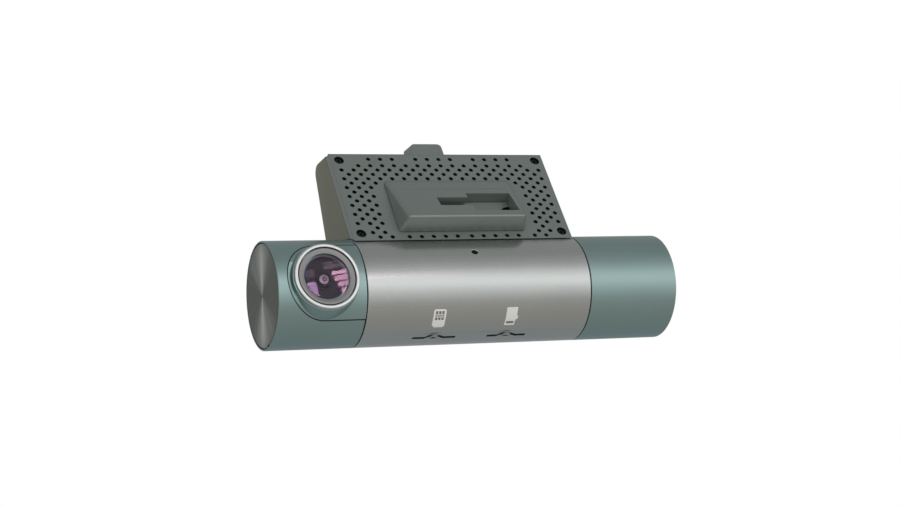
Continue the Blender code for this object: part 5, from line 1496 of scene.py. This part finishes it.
@dataclass
class CabinCamera(TurningBarrel):
    """Cabin-facing barrel: bezel, window, lens and its four infrared lamps."""

    body: str = "cabin_camera"
    facing: float = 195
    bezel: float = 0.0090
    bezel_wall: float = 0.0014
    proud: float = 0.0006
    depth: float = 0.0080
    lens_radius: float = 0.0024
    lens_height: float = 0.0040
    sunk: float = 0.0016
    floor_thickness: float = 0.0012
    glass_thickness: float = 0.0008
    soft: float = 0.0003
    bevel: float = 0.0001
    lamp_radius: float = 0.0012
    lamp_circle: float = 0.0050
    lamp_collar: float = 0.0005
    lamp_count: int = 4

    def make(self, spun: Finish) -> None:
        """Makes every piece of the barrel.

        Args:
            spun: Finish of the end cap.
        """
        low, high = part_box("cabin_barrel_cover")
        seam, end = low.x, high.x
        lens = self.barrel.frame((seam + end) / 2, facing=self.facing)
        far = 2 * self.barrel.radius
        opening = Form.rod((0, far), self.bezel + GAP)
        cover = self.cover_form(seam, end).cut(opening.placed(lens))
        self.shop.piece("cabin_cover", cover, Slot.TEAL, self.body, ["cabin_barrel_cover"])
        self.make_cap("cabin_cap", end, self.body, "cabin_end_cap", spun)

        top = self.barrel.radius + self.proud
        bottom, bore = top - self.depth, self.bezel - self.bezel_wall
        glass_radius = bore + self.bezel_wall / 2 - GAP
        ledge, soft, bevel = top - self.sunk, self.soft, self.bevel
        surround = Form.turned([
            (bottom, bore), (bottom, self.bezel),
            *arc((top - soft, self.bezel - soft), soft, 90, 0),
            (top, glass_radius + GAP + bevel), (top - bevel, glass_radius + GAP),
            (ledge, glass_radius + GAP), (ledge, bore)])
        self.shop.piece("cabin_surround", surround.placed(lens), Slot.BLACK, self.body,
                        ["cabin_bezel"])
        low, high = ledge + GAP, ledge + GAP + self.glass_thickness
        window = Form.turned([(low, 0), (low, glass_radius), (high - bevel, glass_radius),
                              (high, glass_radius - bevel), (high, 0)])
        self.shop.piece("cabin_window", window.placed(lens), Slot.GLASS, self.body,
                        ["cabin_lens_glass"])
        foot = bottom + self.floor_thickness + GAP
        lens_top, rim = foot + self.lens_height, self.lens_radius
        tube = Form.turned([
            (foot, 0), (foot, rim * 0.86), (foot + 0.0010, rim * 0.86), (foot + 0.0012, rim),
            *arc((lens_top - 0.0002, rim - 0.0002), 0.0002, 90, 0, 3), (lens_top, rim * 0.66),
            (lens_top - 0.0003, rim * 0.60), (lens_top - 0.0004, rim * 0.5),
            (lens_top - 0.0001, rim * 0.25), (lens_top, 0)])
        self.shop.piece("cabin_lens", tube.placed(lens), Slot.BLACK, self.body,
                        ["cabin_lens_barrel"])
        collar = foot + self.lamp_collar
        for number in range(self.lamp_count):
            turn = tau * (number + 0.5) / self.lamp_count
            radius, dome = self.lamp_radius, self.lamp_radius * 0.95
            lamp = Form.turned([
                (foot, 0), (foot, radius), (collar, radius), *arc((collar, 0.0), dome, 90, 0, 8)[:-1],
                (collar + dome, 0)], LAMP_STEPS)
            lamp.moved(self.lamp_circle * cos(turn), self.lamp_circle * sin(turn)).placed(lens)
            self.shop.piece(f"infrared_lamp_{number + 1}", lamp, Slot.LIGHT, self.body,
                            [f"infrared_led_{number + 1}"])


# ---- pieces inside, kept as they are --------------------------------------------------------
KEPT_LOOKS: dict[Slot, tuple[str, ...]] = {
    Slot.BLACK: ("front_bulkhead", "cabin_bulkhead", "front_pivot_hub", "cabin_pivot_hub",
                 "processor", "backup_capacitor_1", "backup_capacitor_2", "speaker",
                 "button_switch", "microphone"),
    Slot.SPRING: ("front_friction_washer", "cabin_friction_washer", "front_retaining_ring",
                  "cabin_retaining_ring"),
    Slot.BOARD: ("main_board", "card_board", "button_board", "front_sensor_board",
                 "cabin_camera_board"),
    Slot.SHIELD: ("cellular_modem", "sim_socket", "memory_card_socket", "power_socket"),
    Slot.CERAMIC: ("gps_antenna",),
    Slot.ALUMINIUM: ("heat_spreader",),
    Slot.SILICONE: ("thermal_pad",),
    Slot.FLEX: ("board_link_flex",),
    Slot.CABLE: ("front_camera_cable", "cabin_camera_cable"),
}


def make_finishes(barrel: Barrel) -> dict[Slot, Finish]:
    """Finish of every slot.

    Args:
        barrel: The round body, whose axis the spun caps are cut about.

    Returns:
        Slot to finish.
    """
    def plain(slot: Slot, light: Colour, roughness: float, **more: float) -> Grained:
        """Grained finish whose dark tone follows from its light one."""
        return Grained(slot.value, light, tuple(one * 0.78 for one in light), roughness, **more)

    chosen: dict[Slot, Finish] = {
        Slot.SILVER: Grained(Slot.SILVER.value, (0.505, 0.525, 0.510), (0.44, 0.46, 0.45), 0.27, 0.95,
                             grain=0.0009, depth=0.000003, stretch=(0.02, 4.0, 4.0), spread=0.06),
        Slot.TEAL: Grained(Slot.TEAL.value, (0.295, 0.415, 0.405), (0.25, 0.35, 0.34), 0.35, 0.85,
                           grain=0.00018, depth=0.000008),
        Slot.SPUN: SpunPaintedFans(Slot.SPUN.value, (0.56, 0.57, 0.53), (0.055, 0.066, 0.048), (0.06, 0.075, 0.07),
                        barrel.axis),
        Slot.BRIGHT: Turned(Slot.BRIGHT.value, (0.62, 0.64, 0.63), (0.52, 0.55, 0.54), 0.30),
        Slot.TRIM: Turned(Slot.TRIM.value, (0.26, 0.265, 0.26), (0.21, 0.215, 0.21), 0.40, 0.7),
        Slot.GLASS: Coated(Slot.GLASS.value, (0.80, 0.78, 0.84), (1.0, 0.82, 0.93)),
        Slot.BOARD: Board(Slot.BOARD.value),
    }
    chosen[Slot.GREY] = plain(Slot.GREY, (0.245, 0.280, 0.262), 0.31, metallic=0.5, grain=0.00022,
                              depth=0.000010)
    chosen[Slot.OLIVE] = plain(Slot.OLIVE, (0.195, 0.203, 0.145), 0.46, metallic=0.25, grain=0.00025,
                               depth=0.000014)
    chosen[Slot.BLACK] = plain(Slot.BLACK, (0.012, 0.012, 0.014), 0.50, grain=0.00020)
    chosen[Slot.SCREW] = plain(Slot.SCREW, (0.035, 0.035, 0.035), 0.42, metallic=0.8, grain=0.00015)
    chosen[Slot.SPRING] = plain(Slot.SPRING, (0.55, 0.55, 0.54), 0.28, metallic=1.0, grain=0.0004,
                                stretch=(1.0, 6.0, 1.0))
    chosen[Slot.SHIELD] = plain(Slot.SHIELD, (0.66, 0.66, 0.64), 0.30, metallic=1.0, grain=0.0006,
                                stretch=(0.2, 3.0, 3.0))
    chosen[Slot.CERAMIC] = plain(Slot.CERAMIC, (0.62, 0.54, 0.40), 0.50, grain=0.0003)
    chosen[Slot.ALUMINIUM] = plain(Slot.ALUMINIUM, (0.66, 0.67, 0.68), 0.34, metallic=1.0,
                                   grain=0.0008, stretch=(0.05, 4.0, 4.0))
    chosen[Slot.SILICONE] = plain(Slot.SILICONE, (0.36, 0.43, 0.52), 0.75, grain=0.0004)
    chosen[Slot.RED] = plain(Slot.RED, (0.46, 0.035, 0.025), 0.38, grain=0.00022)
    chosen[Slot.LIGHT] = plain(Slot.LIGHT, (0.74, 0.80, 0.80), 0.22, grain=0.0004, depth=0.000003)
    chosen[Slot.CABLE] = plain(Slot.CABLE, (0.03, 0.03, 0.03), 0.60, grain=0.0003)
    chosen[Slot.FLEX] = plain(Slot.FLEX, (0.48, 0.23, 0.05), 0.42, grain=0.0010,
                              stretch=(4.0, 0.1, 0.1))
    return chosen


def lens_finish(middle: Vector, facing: Vector, radius: float) -> Finish:
    """Painted reflection rings and painted centre highlight of the small lens."""
    return PaintedReflectionElement("lens_element", (0.95, 0.55, 0.62), (0.30, 0.06, 0.10), (0.95, 0.88, 0.90),
                   tuple(middle), tuple(facing), radius)


# ---- studio ---------------------------------------------------------------------------------
@dataclass
class Studio:
    """Camera, soft surround light and pale floor."""

    barrel: Barrel
    camera_place: Colour = (-0.2540, -0.5980, 0.0055)
    camera_tilt: float = -2.27
    camera_turn: float = -22.85
    focal: float = 76.8
    floor_drop: float = 0.35
    floor_size: float = 60.0
    card_scale: float = 1.8

    def make_camera(self) -> None:
        """Camera at the object's usual three-quarter view."""
        data = bpy.data.cameras.new("camera")
        data.lens = self.focal
        data.sensor_width = 36.0
        data.clip_start, data.clip_end = 0.01, 200.0
        camera = bpy.data.objects.new("camera", data)
        camera.location = self.camera_place
        camera.rotation_euler = (radians(90 + self.camera_tilt), 0.0, radians(self.camera_turn))
        bpy.context.scene.collection.objects.link(camera)
        bpy.context.scene.camera = camera
        LOG.info("camera placed")

    def make_surround(self) -> None:
        """Soft light all round: brightest in front a little above the horizon, pale backdrop."""
        world = bpy.data.worlds.new("surround")
        world.use_nodes = True
        nodes = Nodes(world.node_tree)
        _, y, z = nodes.split(nodes.add("ShaderNodeTexCoord", output=0))
        turn = nodes.add("ShaderNodeMath", {"operation": "ARCTAN2"}, (z, 0 - y))

        def grey(degrees_up: float, level: float, tint: Colour = (1.0, 1.0, 1.0)):
            """One stop of the surround, by angle over the front horizon."""
            return ((degrees_up + 180) / 360, tuple(level * one for one in tint))

        stops = [
            grey(-180, 0.34), grey(-140, 0.26, (0.92, 1.0, 1.06)), grey(-95, 0.28, (0.96, 1.0, 1.02)),
            grey(-55, 0.30, (1.06, 1.0, 0.92)), grey(-20, 0.36, (1.04, 1.0, 0.96)), grey(6, 0.72),
            grey(24, 1.14), grey(40, 0.82), grey(58, 0.42), grey(85, 0.27), grey(150, 0.28),
            grey(180, 0.34)]
        light = nodes.add("ShaderNodeValToRGB", {"stops": stops}, (turn / tau + 0.5,))
        soft = nodes.add("ShaderNodeBackground", inputs={"Color": light, "Strength": 1.35})
        backdrop = nodes.add("ShaderNodeBackground", inputs={"Color": (1, 1, 1, 1), "Strength": 1.0})
        seen = nodes.add("ShaderNodeLightPath")
        mixed = nodes.add("ShaderNodeMixShader", inputs=(seen, soft, backdrop))
        nodes.add("ShaderNodeOutputWorld", inputs={"Surface": mixed})
        bpy.context.scene.world = world
        bpy.context.scene.view_settings.view_transform = "Standard"
        LOG.info("surround light set")

    def add_stage(self, name: str, form: Form, colour: Colour, strength: float,
                  camera: bool, glossy: bool) -> None:
        """Adds a stage piece that only lights or only shows.

        Args:
            name: Its name.
            form: Its shape.
            colour: Its light.
            strength: How bright it is.
            camera: Whether it is seen directly.
            glossy: Whether reflections show it.
        """
        data = bpy.data.meshes.new(name)
        form.mesh.to_mesh(data)
        form.mesh.free()
        material = bpy.data.materials.new(name)
        material.use_nodes = True
        nodes = Nodes(material.node_tree)
        glow = nodes.add("ShaderNodeEmission", inputs={"Color": (*colour, 1.0), "Strength": strength})
        nodes.add("ShaderNodeOutputMaterial", inputs={"Surface": glow})
        data.materials.append(material)
        made = bpy.data.objects.new(name, data)
        made.visible_camera, made.visible_glossy = camera, glossy
        made.visible_diffuse = made.visible_shadow = made.visible_transmission = False
        bpy.context.scene.collection.objects.link(made)
        LOG.info("%s staged", name)

    def make_floor(self) -> None:
        """Pale floor well below the object."""
        mesh = bmesh.new()
        bmesh.ops.create_grid(mesh, x_segments=1, y_segments=1, size=self.floor_size / 2)
        low = CAD_BOX[0].z - self.floor_drop
        self.add_stage("floor", Form(mesh).moved(z=low), (1.0, 1.0, 1.0), 1.0, True, False)

    def make_light_panels(self, road: RoadCamera) -> None:
        """Slatted light panels that the lens window mirrors towards the camera."""
        eye = Vector(self.camera_place)
        facing = (road.lens_frame.to_3x3() @ Vector((0, 0, 1))).normalized()
        window = road.lens_frame @ Vector((0, 0, road.glass_top))
        mirrored = eye - facing * (2 * (eye - window).dot(facing))
        spread = (Matrix.Translation(mirrored) @ Matrix.Scale(self.card_scale, 4)
                  @ Matrix.Translation(-mirrored))
        size, height = road.glass_radius, road.glass_top
        tilt = Matrix.Rotation(radians(9), 4, "Z")
        pink, violet, grey = (1.0, 0.66, 0.80), (0.80, 0.60, 0.90), (1.0, 0.95, 1.0)
        panels = [
            ("slat_1", (0.28, 1.2), (0.035, 0.20), pink, 20.0),
            ("slat_2", (0.34, 1.2), (-0.25, -0.03), pink, 17.0),
            ("slat_3", (0.42, 1.2), (-0.52, -0.32), pink, 17.0),
            ("slat_4", (0.50, 1.2), (-1.00, -0.59), pink, 18.0),
            ("side_panel", (-1.2, -0.56), (-1.20, -0.12), violet, 15.0),
            ("upper_slat_1", (0.0, 1.2), (0.34, 0.50), grey, 4.0),
            ("upper_slat_2", (0.0, 1.2), (0.56, 0.64), grey, 3.6),
            ("upper_panel", (-1.2, -0.50), (0.10, 0.44), grey, 2.6),
        ]
        for name, x, y, colour, strength in panels:
            form = Form.block([size * one for one in x], [size * one for one in y],
                              (height - 0.0001, height + 0.0001))
            form.placed(tilt).placed(road.lens_frame).placed(spread)
            self.add_stage(f"light_{name}", form, colour, strength, False, True)


def main() -> None:
    """Builds the dash camera's pieces in order and sets up the studio."""
    logging.basicConfig(level=logging.INFO, format="%(message)s")
    barrel = Barrel.from_frame()
    studio = Studio(barrel)
    studio.make_camera()
    studio.make_surround()
    studio.make_floor()

    shop = Workshop(make_finishes(barrel))
    white = Grained("white_print", (0.86, 0.86, 0.83), (0.78, 0.78, 0.75), 0.5)
    dark = Grained("dark_print", (0.20, 0.205, 0.20), (0.15, 0.15, 0.15), 0.5)

    tube = BodyTube(shop, barrel)
    tube.make_tube()
    tube.make_marks(white, dark)
    tube.make_button_and_light()

    box = ElectronicsBox(shop, barrel)
    box.make_shell()
    box.make_plate()
    box.make_screws()
    box.make_cleat()

    road = RoadCamera(shop, barrel)
    road.make_covers()
    road.make_cap("road_cap", road.end, road.body, "front_end_cap", Slot.SPUN)
    road.make_rings()
    road.make_optics(lens_finish)
    studio.make_light_panels(road)

    CabinCamera(shop, barrel).make(shop.finishes[Slot.SPUN])

    for look, nodes in KEPT_LOOKS.items():
        for node in nodes:
            shop.dress(node, look)
    LOG.info("%d pieces made", len(shop.made))


if __name__ == "__main__":
    main()
